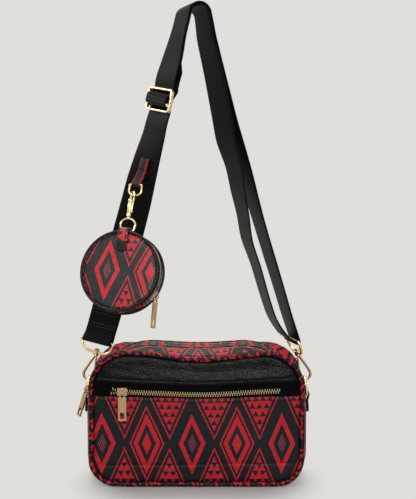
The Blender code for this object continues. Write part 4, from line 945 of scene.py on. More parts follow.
def makePocket():
    x, z = panelGrid(frontShape, frontShape["base"] + inset, pocket["top"], 110, 150)
    rows = drifted(pocketPoint(x, z))
    mesh = shellMesh("pocketPanel", rows, rows + (0, bag["sheet"], 0), printAt(x, z))
    addPiece(mesh, printedLeather, "front_pocket_panel")
    x = np.linspace(-1, 1, 180)[:, None] * (halfWidthAt(frontShape, pocket["top"]) - 0.1)
    ring = np.array(pocketFold)
    rows = drifted(pocketPoint(x, pocket["top"] + ring[None, :, 0], ring[None, :, 1]))
    uv = printAt(x, pocket["top"] + np.append(ring[:, 0], ring[0, 0])[None, :])
    addPiece(gridMesh("pocketTopFold", rows, uv), printedLeather)
    line = np.linspace(-pocket["stitchHalf"], pocket["stitchHalf"], 120)
    seam = drifted(pocketPoint(line, pocket["top"] - pocket["stitchDrop"], pocket["stitchLift"]))
    stitchLine("pocketTopStitches", seam, (0, -1, 0), slotName="printed_leather")


def makeYoke():
    x = (yoke["halfWidth"] * (2 * closer(170) - 1))[None, :]
    corner, big = frontShape["halfWidth"] - frontShape["topCorner"], frontShape["topCorner"] - inset
    ceiling = frontShape["top"] - frontShape["topCorner"]
    ceiling = ceiling + np.sqrt(big**2 - np.clip(np.abs(x) - corner, 0, big) ** 2)
    ceiling = np.maximum(ceiling - frontShape["dip"] * dipAt(x), yokeEdge(x) + 0.3)
    z = yokeEdge(x) + (ceiling - yokeEdge(x)) * closer(64)[:, None]
    rows = drifted(yokePoint(x + 0 * z, z))
    mesh = shellMesh("yokePanel", rows, rows + (0, bag["sheet"], 0), printAt(x, z))
    addPiece(mesh, yokeLeather, "front_yoke")
    line = np.linspace(-yoke["stitchHalf"], yoke["stitchHalf"], 120)
    seam = drifted(yokePoint(line, yokeEdge(line) + yoke["stitchHeight"], yoke["stitchLift"]))
    stitchLine("yokeStitches", seam, (0, -1, 0), slotName="pebbled_leather")


def makeFrontZip():
    x = np.linspace(-frontTape["halfWidth"], frontTape["halfWidth"], 120)[None, :]
    base = pocket["top"] - pocket["bow"] * frontBow(x) - frontTape["below"]
    top = yokeEdge(x) + frontTape["above"]
    top = np.where(np.abs(x) > frontTape["side"], np.minimum(top, frontTape["sideTop"]), top)
    z = base + (top - base) * np.linspace(0, 1, 14)[:, None]
    x = x + 0 * z
    rows = drifted(np.stack([x, np.full_like(z, frontTape["y"]), z], -1))
    mesh = shellMesh("frontTape", rows, rows + (0, frontTape["thick"], 0), printAt(x, z))
    addPiece(mesh, tapeCloth, "front_zip_tape")
    x = np.linspace(chain["left"], chain["right"], 160)
    height = chain["height"] - chain["bow"] * frontBow(x)
    path = drifted(np.stack([x, np.full_like(x, chain["y"]), height], 1))
    toothRun("frontTeeth", path, (0, -1, 0), "front_zip_chain", spread=teethSpread, height=chain["tall"])


# The back panel, the inside walls and the pipings

rear = {
    "crown": 1.0, "flatWithin": 14, "tuck": (1.5, 1.4),
    "slow": (0.6, 48, 21), "pucker": (0.3, 11, 22), "puckerReach": 6,
}
walls = (
    ("pocketBackWall", frontShape, -31.6, 0.6, "pocket_back_wall"),
    ("dividerWall", middleShape, -0.5, 1.0, "divider_wall"),
)  # name, shape, y, how much smaller, node
wall = {"thick": 1, "slow": (0.5, 50, 31)}
cord = {"points": 420, "slack": 0.05, "uneven": (0.10, 9, 41), "floor": 0.15, "printSlide": 14.0}


def makeWalls():
    low, high = rearShape["base"] + inset, rearShape["top"] - inset
    x, z = panelGrid(rearShape, low, high, 90, 110)
    d = edgeDistance(rearShape, x, z)
    spot = spotAt(x, z)
    inner = np.clip(d / rear["flatWithin"], 0, 1)
    y = bag["face"] + rear["crown"] * inner**0.5 - decay(d, *rear["tuck"])
    y = y + uneven(spot, *rear["slow"]) * inner
    y = y + uneven(spot, *rear["pucker"]) * decay(d, 1, rear["puckerReach"])
    rows = drifted(np.stack([x, y, dipped(rearShape, x, z, low, high)], -1))
    mesh = shellMesh("backPanel", rows, rows - (0, bag["sheet"], 0), printAt(-x, z))
    addPiece(mesh, printedLeather, "back_panel")
    for name, shape, y, extra, node in walls:
        low, high = shape["base"] + inset + extra, shape["top"] - inset - extra
        x, z = panelGrid(shape, low, high, 40, 50, extra)
        y = y + uneven(spotAt(x, z), *wall["slow"])
        rows = np.stack([x, y, dipped(shape, x, z, low, high)], -1)
        mesh = shellMesh(name, rows, rows + (0, wall["thick"], 0), printAt(x, z))
        addPiece(mesh, liningCloth, node)


def makePipings():
    for name, shape, side in (("front", frontShape, -1), ("rear", rearShape, 1)):
        line = resample(perimeter(shape), cord["points"], closed=True)
        points = drifted(np.stack([line[:, 0], np.full(len(line), side * bag["halfDepth"]), line[:, 1]], 1))
        swell = bag["piping"] - cord["slack"] + uneven(points, *cord["uneven"])
        rows = tubeRows(points, swell, closed=True, side=(0, 1, 0))
        rows[:, :, 2] = np.maximum(rows[:, :, 2], cord["floor"])
        around = np.linspace(0, math.tau * bag["piping"], 17) + cord["printSlide"]
        uv = stripPrint(lengths(points, closed=True), around)[:, :, ::-1]
        addPiece(gridMesh(name + "Piping", rows, uv, loop=True), pipingLeather, name + "_piping", sharp=0)


# The gusset: strips between the two pipings

gussetSteps = 150
edgeDepth = bag["halfDepth"] - bag["piping"] - gap
middleDepth = topZip["y"] + topZip["tapeHalf"] + gap
innerDepth = topZip["y"] - topZip["tapeHalf"] - gap
# Edges of a strip: distance from its side and rise above it
folded = (
    (0.0, -0.9), (0.1, -0.2), (0.5, 0.40), (1.2, 0.60), (1.7, 0.45), (2.0, 0.25), (2.3, 0.45), (3.0, 0.60),
    (4.2, 0.45), (5.6, 0.08),
)
tucked = ((0.0, -1.4), (0.3, -0.6), (0.9, -0.15), (2.0, 0.0))


def gussetLine(y, offset, upper, steps):
    shape = frontShape if y < 0 else rearShape
    half, _, high, small, big = sidesOf(shape, bag["piping"])
    edge = shapeOf(half, high, big, 0.0, small, shape["dip"])
    share = math.sin(min(max((edgeDepth - abs(y)) / (edgeDepth - middleDepth), 0.0), 1.0) * math.pi / 2)
    cuts = (cutAt(perimeter(one, offset), bag["seamHeight"], upper) for one in (edge, middleShape))
    a, b = (resample(cut, steps) for cut in cuts)
    line = a + (b - a) * share
    return np.stack([line[:, 0], np.full(len(line), y), line[:, 1]], 1)


def strip(low, high, lowEdge, highEdge, middle=3):
    # A section across the strip: its outer side from low to high, then its flat inner side back
    outer = [(low + d, lift) for d, lift in lowEdge]
    start, end = low + lowEdge[-1][0], high - highEdge[-1][0]
    outer += [(start + (end - start) * i / (middle + 1), 0.0) for i in range(1, middle + 1)]
    outer += [(high - d, lift) for d, lift in reversed(highEdge)]
    return outer + [(high - (high - low) * i / 6, min(lowEdge[0][1], highEdge[0][1]) - 0.1) for i in range(7)]


def gussetStrip(name, section, node, upper=True, material=printedLeather, slide=0.0):
    rows = np.stack([gussetLine(y, lift, upper, gussetSteps) for y, lift in section], 1)
    if upper:
        rows[[0, -1], :, 2] += gap
    rows = drifted(rows)
    rows[:, :, 2] = np.maximum(rows[:, :, 2], 0.0)
    across = np.array([y for y, _ in section] + [section[0][0]])
    across = across - (across.max() + across.min()) / 2 + slide
    uv = stripPrint(lengths(gussetLine(0, 0, upper, gussetSteps)), across)
    addPiece(gridMesh(name, rows, uv), material, node)


def raisedLine(y, lift, steps):
    # A line along the top and its up directions
    line = gussetLine(y, lift, True, steps)
    return drifted(line), gussetLine(y, lift + 1, True, steps) - line


def makeGusset():
    front = strip(-edgeDepth, -middleDepth, tucked, folded)
    gussetStrip("topFrontStrip", front, "gusset_top_front", slide=32.0)
    gussetStrip("topMiddleStrip", strip(-innerDepth, innerDepth, folded, folded), "gusset_top_middle")
    gussetStrip("topRearStrip", strip(middleDepth, edgeDepth, folded, tucked), "gusset_top_rear")
    lower = strip(-edgeDepth, edgeDepth, tucked, tucked, 17)
    gussetStrip("bottomGusset", lower, "gusset_bottom", upper=False)
    reach = topZip["tapeHalf"] + topZip["tapeUnder"]
    for name, sign in (("Front", -1), ("Rear", 1)):
        node = "top_" + name.lower() + "_zip_"
        flat = [(sign * topZip["y"] + reach * (i / 4 - 1), topZip["tape"]) for i in range(9)]
        section = flat + [(y, lift - topZip["tapeThick"]) for y, lift in reversed(flat)]
        gussetStrip("top" + name + "Tape", section, node + "tape", material=tapeCloth)
        line, over = raisedLine(sign * topZip["y"], topZip["chain"], 260)
        toothRun("top" + name + "Teeth", line, over, node + "chain")
        seams = (("Inner", innerDepth - topZip["stitchIn"]), ("Outer", middleDepth + topZip["stitchIn"]))
        for place, y in seams:
            line, over = raisedLine(sign * y, topZip["stitchLift"], 200)
            stitches = "top" + name + place + "Stitches"
            stitchLine(stitches, line[3:-3], over[3:-3], slotName="printed_leather")


makePocket()
makeYoke()
makeFrontZip()
makeWalls()
makePipings()
makeGusset()
print("bag body ready")


# Side tabs, D-rings, snap hooks and the eyes that carry the webbing

tab = {"halfWidth": 7.0, "thickness": 1.3, "foot": 73.0, "seamLow": 74.6, "seamHigh": 82.0}
dRing = {"wire": 1.3, "innerWidth": 15.0, "barHeight": 91.0, "rise": 18.3, "lean": 7.0, "corner": 2.0}
hook = {
    "pivot": (105.6, 134.6), "claw": (113.5, 111.5), "clawRadius": 5.6, "wire": 1.4, "gate": 1.0,
    "boss": 3.4, "bore": 1.8, "bossHalf": 2.6, "eyeWire": 1.5,
}
strap = {"width": 38.0, "thickness": 1.5, "pitch": 2.05, "sewnTail": 34.0, "hems": (14, 17, 28, 31)}
leftEye = {"place": (-104.1, 0.0, 147.3), "yaw": 37.0, "tilt": -6.0}
rightEye = {"place": (99.8, 0.0, 148.8), "yaw": 75.0, "tilt": 0.0}


def sideSurface(height, sign):
    corner = middleShape["topCorner"]
    rise = max(height - (middleShape["top"] - corner), 0.0)
    return vector(sign * (middleShape["halfWidth"] - corner + math.sqrt(corner**2 - rise**2)), 0, height)


def dRingBar(sign):
    return sideSurface(dRing["barHeight"], sign) + (sign * (2 * gap + tab["thickness"] + dRing["wire"]), 0, 0)


def makeTab(side, sign):
    bar = dRingBar(sign)
    wrapRadius = dRing["wire"] + gap + tab["thickness"] / 2
    under = gap + tab["thickness"] / 2
    over = under + tab["thickness"] + gap

    def offSide(height, out, y=0.0):
        return sideSurface(height, sign) + (sign * out, y, 0)

    line = [offSide(height, under) for height in np.linspace(tab["foot"], bar[2] - 5, 10)]
    line += [bar + (u * sign, 0, v) for u, v in arcPoints(0, 0, wrapRadius, 180, 0, 16)]
    for drop in (2.0, 4.0, 6.0, 8.5):
        wide, close = bar[0] + sign * wrapRadius, offSide(bar[2] - drop, over)[0]
        share = drop / 8.5
        line.append(vector(wide + (close - wide) * share * share * (3 - 2 * share), 0, bar[2] - drop))
    line += [offSide(height, over) for height in np.linspace(bar[2] - 10, tab["foot"], 8)]
    line = smoothRun(line, 3)
    widths = np.repeat([[0.0, 1.0, 0.0]], len(line), 0)
    rows, uv = ribbonRows(line, widths, 2 * tab["halfWidth"], tab["thickness"], 0.12)
    addPiece(gridMesh(side + "Tab", rows, uv), smoothLeather, side + "_tab")
    half = tab["halfWidth"] - 1.5
    low, high = tab["seamLow"], tab["seamHigh"]
    box = resample([(-half, low), (half, low), (half, high), (-half, high), (-half, low)], 40)
    seam = [offSide(z, over + tab["thickness"] / 2 + 0.16, y) for y, z in box]
    stitchLine(side + "TabStitches", seam, (sign, 0, 0), pitch=2.4)


def makeDRing(side, sign):
    lean = math.radians(dRing["lean"])
    rise = vector(-sign * math.sin(lean), 0, math.cos(lean))
    half, corner = dRing["innerWidth"] / 2 + dRing["wire"], dRing["corner"]
    bend = arcPoints(half - corner, corner, corner, -90, 0, 8)
    crown = arcPoints(0, dRing["rise"] - half, half, 0, 180, 40)
    outline = np.vstack([bend, crown, bend[::-1] * (-1, 1)])
    points = resample(turned(outline, dRingBar(sign), (0, 1, 0), rise), 90, closed=True)
    node = side + "_d_ring"
    addPiece(tubeMesh(side + "DRing", points, dRing["wire"], closed=True), brass, node, node)


def widthWay(yaw, tilt):
    # The webbing's width: its right edge is nearer to the viewer, and raised by tilt
    turn, rise = np.radians(yaw), np.radians(tilt)
    return np.stack([np.cos(turn) * np.cos(rise), -np.sin(turn) * np.cos(rise), np.sin(rise)], -1)


def hookWays(sign):
    pivot, claw = (vector(sign * x, 0, z) for x, z in (hook["pivot"], hook["claw"]))
    down = unit(claw - pivot)
    return pivot, np.linalg.norm(claw - pivot), down, unit(-np.cross((0, sign, 0), down))


def makeHook(side, sign):
    pivot, reach, down, out = hookWays(sign)
    neck, top = hook["bossHalf"] + gap, -hook["bossHalf"] - gap
    arm = [(0.0, top - gap), (0.0, neck), (0.0, neck + 0.6), (0.5, neck + 1.8)]
    arm += [(2.2, reach - 14.5), (5.3, reach - 3.5)]
    arm += [(u, reach - v) for u, v in arcPoints(0, 0, hook["clawRadius"], 0, -205, 18)]
    path = resample(turned(smoothRun(arm, 6), pivot, out, down), 110)
    radius = hook["wire"] * (1 - 0.25 * np.clip((np.linspace(0, 1, len(path)) - 0.9) / 0.1, 0, 1))
    head = [(top, 2.3), (top - 0.3, 2.6), (top - 1.0, 2.6), (top - 1.3, 2.2)]
    skirt = [(neck, 2.5), (neck + 0.4, 2.6), (neck + 1.2, 1.6)]
    parts = [tubeMesh("arm", path, radius), lathe("head", head, pivot, down)]
    parts.append(lathe("skirt", skirt, pivot, down))
    node = side + "_hook"
    addPiece(joinMeshes(side + "Hook", parts), agedBrass, node, node)
    tip = arcPoints(0, 0, hook["clawRadius"], -205, -205, 1)[0]
    start = -hook["wire"] - hook["gate"]
    run = [(start, neck + 2.0), (start + 0.2, neck + 5.0), (tip[0], reach - tip[1] - 2 * gap)]
    gate = resample(turned(run, pivot, out, down), 24)
    addPiece(tubeMesh(side + "Gate", gate, hook["gate"]), agedBrass, side + "_hook_gate", side + "_gate")


def makeHookEye(side, sign, eye):
    pivot, _, down, _ = hookWays(sign)
    bar, across = vector(*eye["place"]), widthWay(eye["yaw"], eye["tilt"])
    half = strap["width"] / 2 + hook["eyeWire"] + 0.8
    outline = [(half - 1.0, 0.0), (half, 0.1), (half - 0.3, 0.33), (half - 2.2, 0.62), (half - 5.5, 0.83)]
    outline += [(half - 10.0, 0.96), (hook["boss"] - 0.6, 1.0)]
    parts = []
    for turn in (1, -1):
        path = np.vstack([[(0, 0), (half - 3, 0)], smoothRun(outline, 6)])[::turn] * (turn, 1)
        parts.append(tubeMesh("half", turned(path, bar, across, pivot - bar), hook["eyeWire"]))
    wide, tall = hook["boss"], hook["bossHalf"]
    profile = [(hook["bore"], -tall), (wide - 0.3, -tall), (wide, 0.3 - tall), (wide, tall - 0.3)]
    profile += [(wide - 0.3, tall), (hook["bore"], tall)]
    spoke = unit(np.cross(down, (0, 1, 0)))
    turns = (math.tau * np.arange(28) / 28)[:, None]
    spokes = np.cos(turns) * spoke + np.sin(turns) * np.cross(down, spoke)
    rows = np.stack([pivot + spokes * r + down * h for r, h in profile], 1)
    parts.append(gridMesh("sleeve", rows, loop=True))
    addPiece(joinMeshes(side + "HookEye", parts), brass, side + "_hook_eye")


for side, sign, eye in (("left", -1, leftEye), ("right", 1, rightEye)):
    makeTab(side, sign)
    makeDRing(side, sign)
    makeHook(side, sign)
    makeHookEye(side, sign, eye)
print("rings and hooks ready")


# The strap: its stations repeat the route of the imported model

leftLeg = np.array((
    (147.3, -104.1, 0.0, 37.0, -6.0), (160.0, -100.2, 0.2, 36.0, -6.0), (200.0, -89.0, 1.0, 34.0, -8.0),
    (250.0, -74.6, 2.0, 32.0, -9.0), (290.0, -63.9, 3.0, 34.0, -9.0), (315.0, -57.8, 3.4, 38.0, -9.0),
    (340.0, -51.0, 4.0, 45.0, -8.5), (365.0, -43.9, 4.6, 52.5, -8.0), (398.3, -36.9, 5.2, 56.0, -8.0),
    (415.0, -33.6, 5.8, 57.0, -6.0), (440.0, -26.4, 6.8, 59.5, -1.0), (464.0, -20.4, 8.0, 65.0, 5.0),
    (484.5, -14.8, 9.1, 66.0, 8.0),
))  # height, x, y, yaw, tilt
rightOuter = np.array((
    (9.8, 19.3, 472.0, 64.5, 7.5), (11.8, 19.5, 460.0, 63.0, 7.0), (19.1, 19.4, 427.0, 59.0, 4.0),
    (25.2, 18.6, 402.4, 57.5, 2.0), (31.6, 17.4, 377.7, 57.0, 0.0), (39.4, 15.8, 352.9, 59.0, 0.0),
    (47.8, 13.8, 328.0, 63.5, 0.0), (55.4, 11.8, 303.1, 68.0, 0.0), (62.8, 9.8, 278.1, 71.5, 0.0),
    (70.3, 7.8, 253.1, 72.5, 0.0), (78.0, 5.8, 227.9, 73.0, 0.0), (85.7, 3.8, 202.7, 74.0, 0.0),
    (93.2, 2.0, 177.4, 74.5, 0.0), (99.2, 0.6, 159.0, 75.0, 0.0),
))  # x, y, height, yaw, tilt, from the top down
rightInner = np.array((
    (90.8, -1.6, 153.6, 75.5, 0.0), (83.2, -2.2, 163.8, 76.5, 0.0), (76.4, -1.8, 177.4, 77.0, 0.0),
    (68.4, -0.6, 202.7, 76.5, 0.0), (61.0, 0.8, 227.9, 75.5, 0.0), (52.2, 2.4, 253.1, 73.5, 0.0),
    (48.2, 4.9, 278.1, 71.5, 0.0), (42.9, 6.9, 303.1, 68.0, 0.0), (38.8, 9.2, 328.0, 63.5, 0.0),
    (30.9, 11.9, 352.9, 59.0, 0.0), (26.7, 14.2, 377.7, 57.0, 0.0), (22.1, 16.6, 402.4, 57.5, 2.0),
    (17.2, 18.3, 427.0, 59.0, 4.0), (9.4, 18.3, 460.0, 63.0, 7.0), (7.5, 18.1, 472.0, 64.5, 7.5),
))  # x, y, height, yaw, tilt, from the hook up
apex = {"place": (-3.6, 14.0, 484.5), "radius": 12.2, "yaw": 66.0, "tilt": 8.0}
adjuster = {
    "height": 398.3, "halfHeight": 11.2, "wire": 1.4, "halfDepth": 2.0, "pin": 1.2,
    "side": 0.6, "bend": 3.0, "narrow": 0.92,
}


def leftLegAt(level):
    # Centre, width direction and front direction of the left leg at a height
    rows = leftLeg
    i = min(max(int(np.searchsorted(rows[:, 0], level)) - 1, 0), len(rows) - 2)
    a, b, before, after = rows[i], rows[i + 1], rows[max(i - 1, 0)], rows[min(i + 2, len(rows) - 1)]
    span = b[0] - a[0]
    t = (level - a[0]) / span
    slopeA, slopeB = (b - before) / (b[0] - before[0]) * span, (after - a) / (after[0] - a[0]) * span
    values = (2 * t**3 - 3 * t**2 + 1) * a + (t**3 - 2 * t**2 + t) * slopeA
    values = values + (3 * t**2 - 2 * t**3) * b + (t**3 - t**2) * slopeB
    _, x, y, yaw, tilt = values
    turn = math.radians(yaw)
    return vector(x, y, level), widthWay(yaw, tilt), vector(-math.sin(turn), -math.cos(turn), 0)


def legRun(steps):
    made = []
    for level, offset in steps:
        centre, across, front = leftLegAt(level)
        made.append((*(centre + front * offset), *across))
    return made


def turnRun(centre, u, v, radius, across, start, end, steps):
    # Stations round a bar; u and v are two directions square to it
    angles = np.radians(np.linspace(start, end, steps + 1))
    return [(*(centre + (u * math.cos(a) + v * math.sin(a)) * radius), *across) for a in angles]


def pointed(way, axis, sign):
    # The direction or its opposite, whichever has this sign on that axis
    way = unit(way)
    return way if way[axis] * sign > 0 else -way


def apexRun(radius, start, end):
    across = widthWay(apex["yaw"], apex["tilt"])
    turn = math.radians(apex["yaw"])
    side = vector(math.sin(turn), math.cos(turn), 0)
    lift = pointed(np.cross(side, across), 2, 1)
    return turnRun(vector(*apex["place"]), side, lift, radius, across, start, end, 10)


def rowStations(rows):
    return list(smoothRun(np.hstack([rows[:, :3], widthWay(rows[:, 3], rows[:, 4])]), 2))


def adjusterPlane():
    centre, across, front = leftLegAt(adjuster["height"])
    above = unit(leftLegAt(adjuster["height"] + 5)[0] - leftLegAt(adjuster["height"] - 5)[0])
    across, front = (unit(way - above * way.dot(above)) for way in (across, front))
    return centre + front * adjuster["halfDepth"], across, front, above


def strapStations():
    level, half, pitch = adjuster["height"], adjuster["halfHeight"], strap["pitch"]
    left, right = vector(*leftEye["place"]), vector(*rightEye["place"])
    leftAcross, rightAcross = widthWay(leftEye["yaw"], leftEye["tilt"]), widthWay(rightEye["yaw"], 0.0)
    turn = hook["eyeWire"] + 1.6 * gap + strap["thickness"] / 2
    pinTurn = adjuster["pin"] + gap + strap["thickness"] / 2
    behind = -2 * gap - strap["thickness"] / 2
    bulge = adjuster["halfDepth"] + pinTurn + pitch
    # the sewn tail, round the left eye and up to the adjuster
    stations = legRun([(left[2] + rise, -pitch) for rise in (strap["sewnTail"], 22, 9)])
    front = pointed(np.cross((0, 0, 1), leftAcross), 1, -1)
    above = pointed(np.cross(leftAcross, front), 2, 1)
    stations += turnRun(left, front, above, turn, leftAcross, 180, 360, 12)
    stations += legRun([(left[2] + 8, 0.3)])
    stations += legRun([(left[2] + (level - half - 14 - left[2]) * i / 44, 0.0) for i in range(4, 45)])
    # through the adjuster and over the pin's loop
    weave = [(-half - 6, behind / 2), (-half - 2, behind), (-half, behind), (-half + 2, behind)]
    weave += [(-half / 2, bulge * 0.45), (-3, bulge), (0, bulge), (3, bulge), (half / 2, bulge * 0.76)]
    weave += [(half - 2, behind + 0.5), (half, behind), (half + 2, behind), (half + 6, behind / 2)]
    stations += list(smoothRun(legRun([(level + rise, offset) for rise, offset in weave]), 2))
    upper = np.linspace(level + half + 14, apex["place"][2] - 8, 17)
    stations += legRun([(height, 0.0) for height in upper])
    # over the top, down to the right eye, round it and back
    stations += apexRun(apex["radius"], 172, 8)
    stations += rowStations(rightOuter)
    yaw = math.radians(rightEye["yaw"])
    out = vector(math.sin(yaw), math.cos(yaw), 0)
    stations += turnRun(right, out, vector(0, 0, 1), turn, rightAcross, 20, -180, 12)
    stations += rowStations(rightInner)
    stations += apexRun(apex["radius"] - pitch, 8, 172)
    stations += legRun([(height, -pitch) for height in upper[:3:-1]])
    # behind the adjuster and round its pin
    centre, across, front, above = adjusterPlane()
    shallow = behind - pitch - 0.4
    stations += legRun([(level + half + rise, shallow - pitch) for rise in (18, 14, 10, 6, 2, -2)])
    stations += turnRun(centre, front, above, pinTurn, across, 203, 405, 12)
    return stations + legRun([(level + half + rise, shallow) for rise in (-2, 0, 3, 7, 10)])


def makeStrap():
    run = smoothRun(strapStations(), 2)
    widths = run[:, 3:] / np.linalg.norm(run[:, 3:], axis=1)[:, None]
    rows, uv = ribbonRows(run[:, :3], widths, strap["width"], strap["thickness"], 0.06)
    addPiece(gridMesh("webbing", rows, uv), webbingCloth, "strap_webbing", sharp=55)
    reach = 0.9 * strap["width"] / 2
    for i, rise in enumerate(strap["hems"]):
        centre, across, front = leftLegAt(leftEye["place"][2] + rise)
        face = centre + front * (strap["thickness"] / 2 + 0.1)
        seam = face + np.outer(np.linspace(-reach, reach, 12), across)
        stitchLine("hemStitches" + str(i), seam, front, pitch=2.6, slotName="webbing")


def makeAdjuster():
    centre, across, front, above = adjusterPlane()
    halfWidth = strap["width"] / 2 + adjuster["side"] + adjuster["wire"]
    bend = adjuster["bend"]
    corner = arcPoints(halfWidth - bend, adjuster["halfHeight"] - bend, bend, 0, 90, 8)
    top = np.vstack([corner, corner[::-1] * (-1, 1)])
    points = turned(resample(np.vstack([top, -top]), 130, closed=True), centre, across, above)
    inward = np.cross(directions(points, True), front)
    # a squarish bar with soft edges
    turns = np.linspace(0, math.tau, 20, endpoint=False)
    section = np.stack([np.cos(turns), np.sin(turns)], 1)
    squarish = ((section**4).sum(1) ** -0.25)[:, None]
    section = section * squarish * (adjuster["wire"] * adjuster["narrow"], adjuster["halfDepth"])
    rows = points[:, None, :] + inward[:, None, :] * section[None, :, :1] + front * section[None, :, 1:]
    addPiece(gridMesh("adjusterFrame", rows, loop=True), brass, "adjuster_frame", sharp=50)
    reach = halfWidth + adjuster["wire"] + gap
    rod = [centre + across * u for u in np.linspace(-reach, reach, 20)]
    parts = [tubeMesh("rod", rod, adjuster["pin"], roundEnds=False)]
    cap = [(reach, 1.8), (reach + 0.3, 2.0), (reach + 0.8, 1.9), (reach + 1.0, 1.4)]
    parts += [lathe("cap", cap, centre, across * sign, 20) for sign in (-1, 1)]
    addPiece(joinMeshes("adjusterPin", parts), brass, "adjuster_pin")


makeStrap()
makeAdjuster()
print("strap ready")


# The coin pouch. Its own frame has +X right, -Y front and +Z up the clasp

pouch = {
    "origin": (-67.6, -3.6, 301.6), "up": (0.105, 0.279, 0.955), "face": (-0.275, -0.899, 0.342),
    "radius": 41.2, "halfDepth": 10.0, "drop": 83.2, "piping": 1.4, "panel": 1.8, "crown": 1.2,
    "zipStart": 62.0, "zipEnd": -52.0, "printShift": (12.9, 0), "thick": 1.3, "flatWithin": 8,
    "tuck": (1.3, 1.3), "slow": (0.35, 26, 51), "pucker": (0.28, 5), "puckers": 23, "sway": (3, 60, 52),
    "tabHalf": 5.6, "tabThick": 1.1, "strapTabHalf": 4.9, "foldHalf": 4.6,
    "tabPrint": (0.08, 0.34), "tabBlack": -52.3,
    "strapTabRises": (27.0, 23.5, 20.0, 16.5, 13.0), "strapTabHems": (15.0, 24.5), "redRim": 1.1,
}
tabRing = {"wire": 1.1, "half": 6.9, "tall": 5.7, "x": 4.8, "y": -3.1, "top": 8.9}
eyeRing = {"wire": 1.1, "half": 8.0, "tall": 6.3, "drop": 32.9}
clasp = {"wire": 1.2, "base": -24.6, "turn": -48.0, "reach": 8.4, "lever": 1.1}
# The clasp's barrel: height and radius
barrel = (
    (-5.2, 1.5), (-5.6, 2.2), (-6.1, 2.6), (-9.0, 2.6), (-9.3, 2.35), (-9.7, 2.35), (-10.0, 2.6),
    (-20.4, 2.6), (-20.7, 2.35), (-21.1, 2.35), (-21.4, 2.6), (-24.1, 2.6), (-24.4, 2.2), (-24.6, 1.5),
)
pouchOrigin = vector(*pouch["origin"])
pouchUp = unit(pouch["up"])
pouchFace = unit(np.array(pouch["face"]) - pouchUp * np.dot(pouch["face"], pouchUp))
pouchTurn = np.stack([np.cross(pouchUp, pouchFace), -pouchFace, pouchUp])


def hungWay(ways):
    return np.asarray(ways, float) @ pouchTurn


def hung(points):
    # From the pouch's frame to the row frame
    return hungWay(points) + pouchOrigin


def pouchCircle(radius, y, turns):
    x, z = radius * np.cos(turns), radius * np.sin(turns) - pouch["drop"]
    return np.stack([x, np.full_like(turns, y), z], -1)


def makePouchDisc(name, side, node):
    rim = pouch["radius"] - pouch["piping"] - gap
    shares = np.concatenate([[0.01], np.linspace(0.06, 0.9, 22), [0.93, 0.955, 0.975, 0.99, 1.0]])
    radii = rim * shares[:, None]
    turns = np.linspace(0, math.tau, 96, endpoint=False)
    x, z = radii * np.cos(turns), radii * np.sin(turns)
    edge = rim - radii
    spot = np.stack([x, 0 * x + side * 9, z], -1)
    dome = pouch["crown"] * np.clip(1 - (radii / rim) ** 2, 0, 1) ** 0.7
    out = pouch["halfDepth"] + dome - decay(edge, *pouch["tuck"])
    out = out + uneven(spot, *pouch["slow"]) * np.clip(edge / pouch["flatWithin"], 0, 1)
    pucker = np.sin(turns * pouch["puckers"] + uneven(spot, *pouch["sway"]))
    out = out + decay(edge, *pouch["pucker"]) * pucker
    front = np.stack([x, side * out, z - pouch["drop"]], -1)
    rows = np.concatenate([front, (front - (0, side * pouch["thick"], 0))[::-1]])
    flat = np.stack([x, z], -1)
    flat = np.concatenate([flat, flat[::-1]])
    uv = (np.concatenate([flat, flat[:, :1]], 1) + pouch["printShift"]) * (-side, 1) / 100
    addPiece(gridMesh(name, hung(rows), uv), pouchLeather, node, "pouch")
    seam = hung(pouchCircle(rim - 2.2, side * (pouch["halfDepth"] + 0.28), turns))
    stitchLine(name + "Stitches", seam, hungWay((0, side, 0)), pitch=2.8, closed=True, body="pouch")
    line = hung(pouchCircle(pouch["radius"], side * pouch["halfDepth"], turns))
    binding = tubeMesh(name + "Binding", line, pouch["piping"], closed=True, side=hungWay((0, 1, 0)))
    addPiece(binding, smoothLeather, node + "_binding", "pouch", "black_tape", sharp=0)


def pouchBand(name, section, start, end, material, node, steps=110):
    turns = np.radians(np.linspace(start, end, steps + 1))
    rows = np.stack([pouchCircle(r, y, turns) for y, r in section], 1)
    uv = stripPrint(turns * pouch["radius"], np.array([y for y, _ in section] + [section[0][0]]))
    addPiece(gridMesh(name, hung(rows), uv), material, node, "pouch")


def makePouchBody():
    for name, side in (("Front", -1), ("Back", 1)):
        makePouchDisc("pouch" + name, side, "pouch_" + name.lower())
    edge, top = pouch["halfDepth"] - pouch["panel"] - gap, pouch["radius"]
    half = [(edge, top - 0.9), (edge - 0.4, top - 0.2), (edge - 2, top + 0.05), (2.5, top + 0.2)]
    section = [(-y, r) for y, r in half] + [(0, top + 0.22)] + half[::-1]
    section += [(edge, top - 1.4), (0, top - 1.4), (-edge, top - 1.4)]
    start, end = pouch["zipStart"], pouch["zipEnd"]
    pouchBand("pouchGusset", section, start + 0.5, end + 359.5, pouchLeather, "pouch_gusset", 150)
    flat = [(-edge + 2 * edge * i / 10, top - 0.9) for i in range(11)]
    section = flat + [(y, r - 0.7) for y, r in reversed(flat)]
    pouchBand("pouchTape", section, end, start, tapeCloth, "pouch_zip_tape")
    turns = np.radians(np.linspace(end + 2, start - 2, 200))
    spokes = hungWay(np.stack([np.cos(turns), 0 * turns, np.sin(turns)], -1))
    toothRun("pouchTeeth", hung(pouchCircle(top - 0.15, 0, turns)), spokes, "pouch_zip_chain", "pouch")


def twoTone(mesh, first, second, chosen):
    # Gives the faces that chosen picks the second material
    mesh.materials.append(first)
    mesh.materials.append(second)
    centres = np.empty(len(mesh.polygons) * 3, np.float32)
    mesh.polygons.foreach_get("center", centres)
    mesh.polygons.foreach_set("material_index", chosen(centres.reshape(-1, 3) / mm).astype(np.int32))
    return mesh


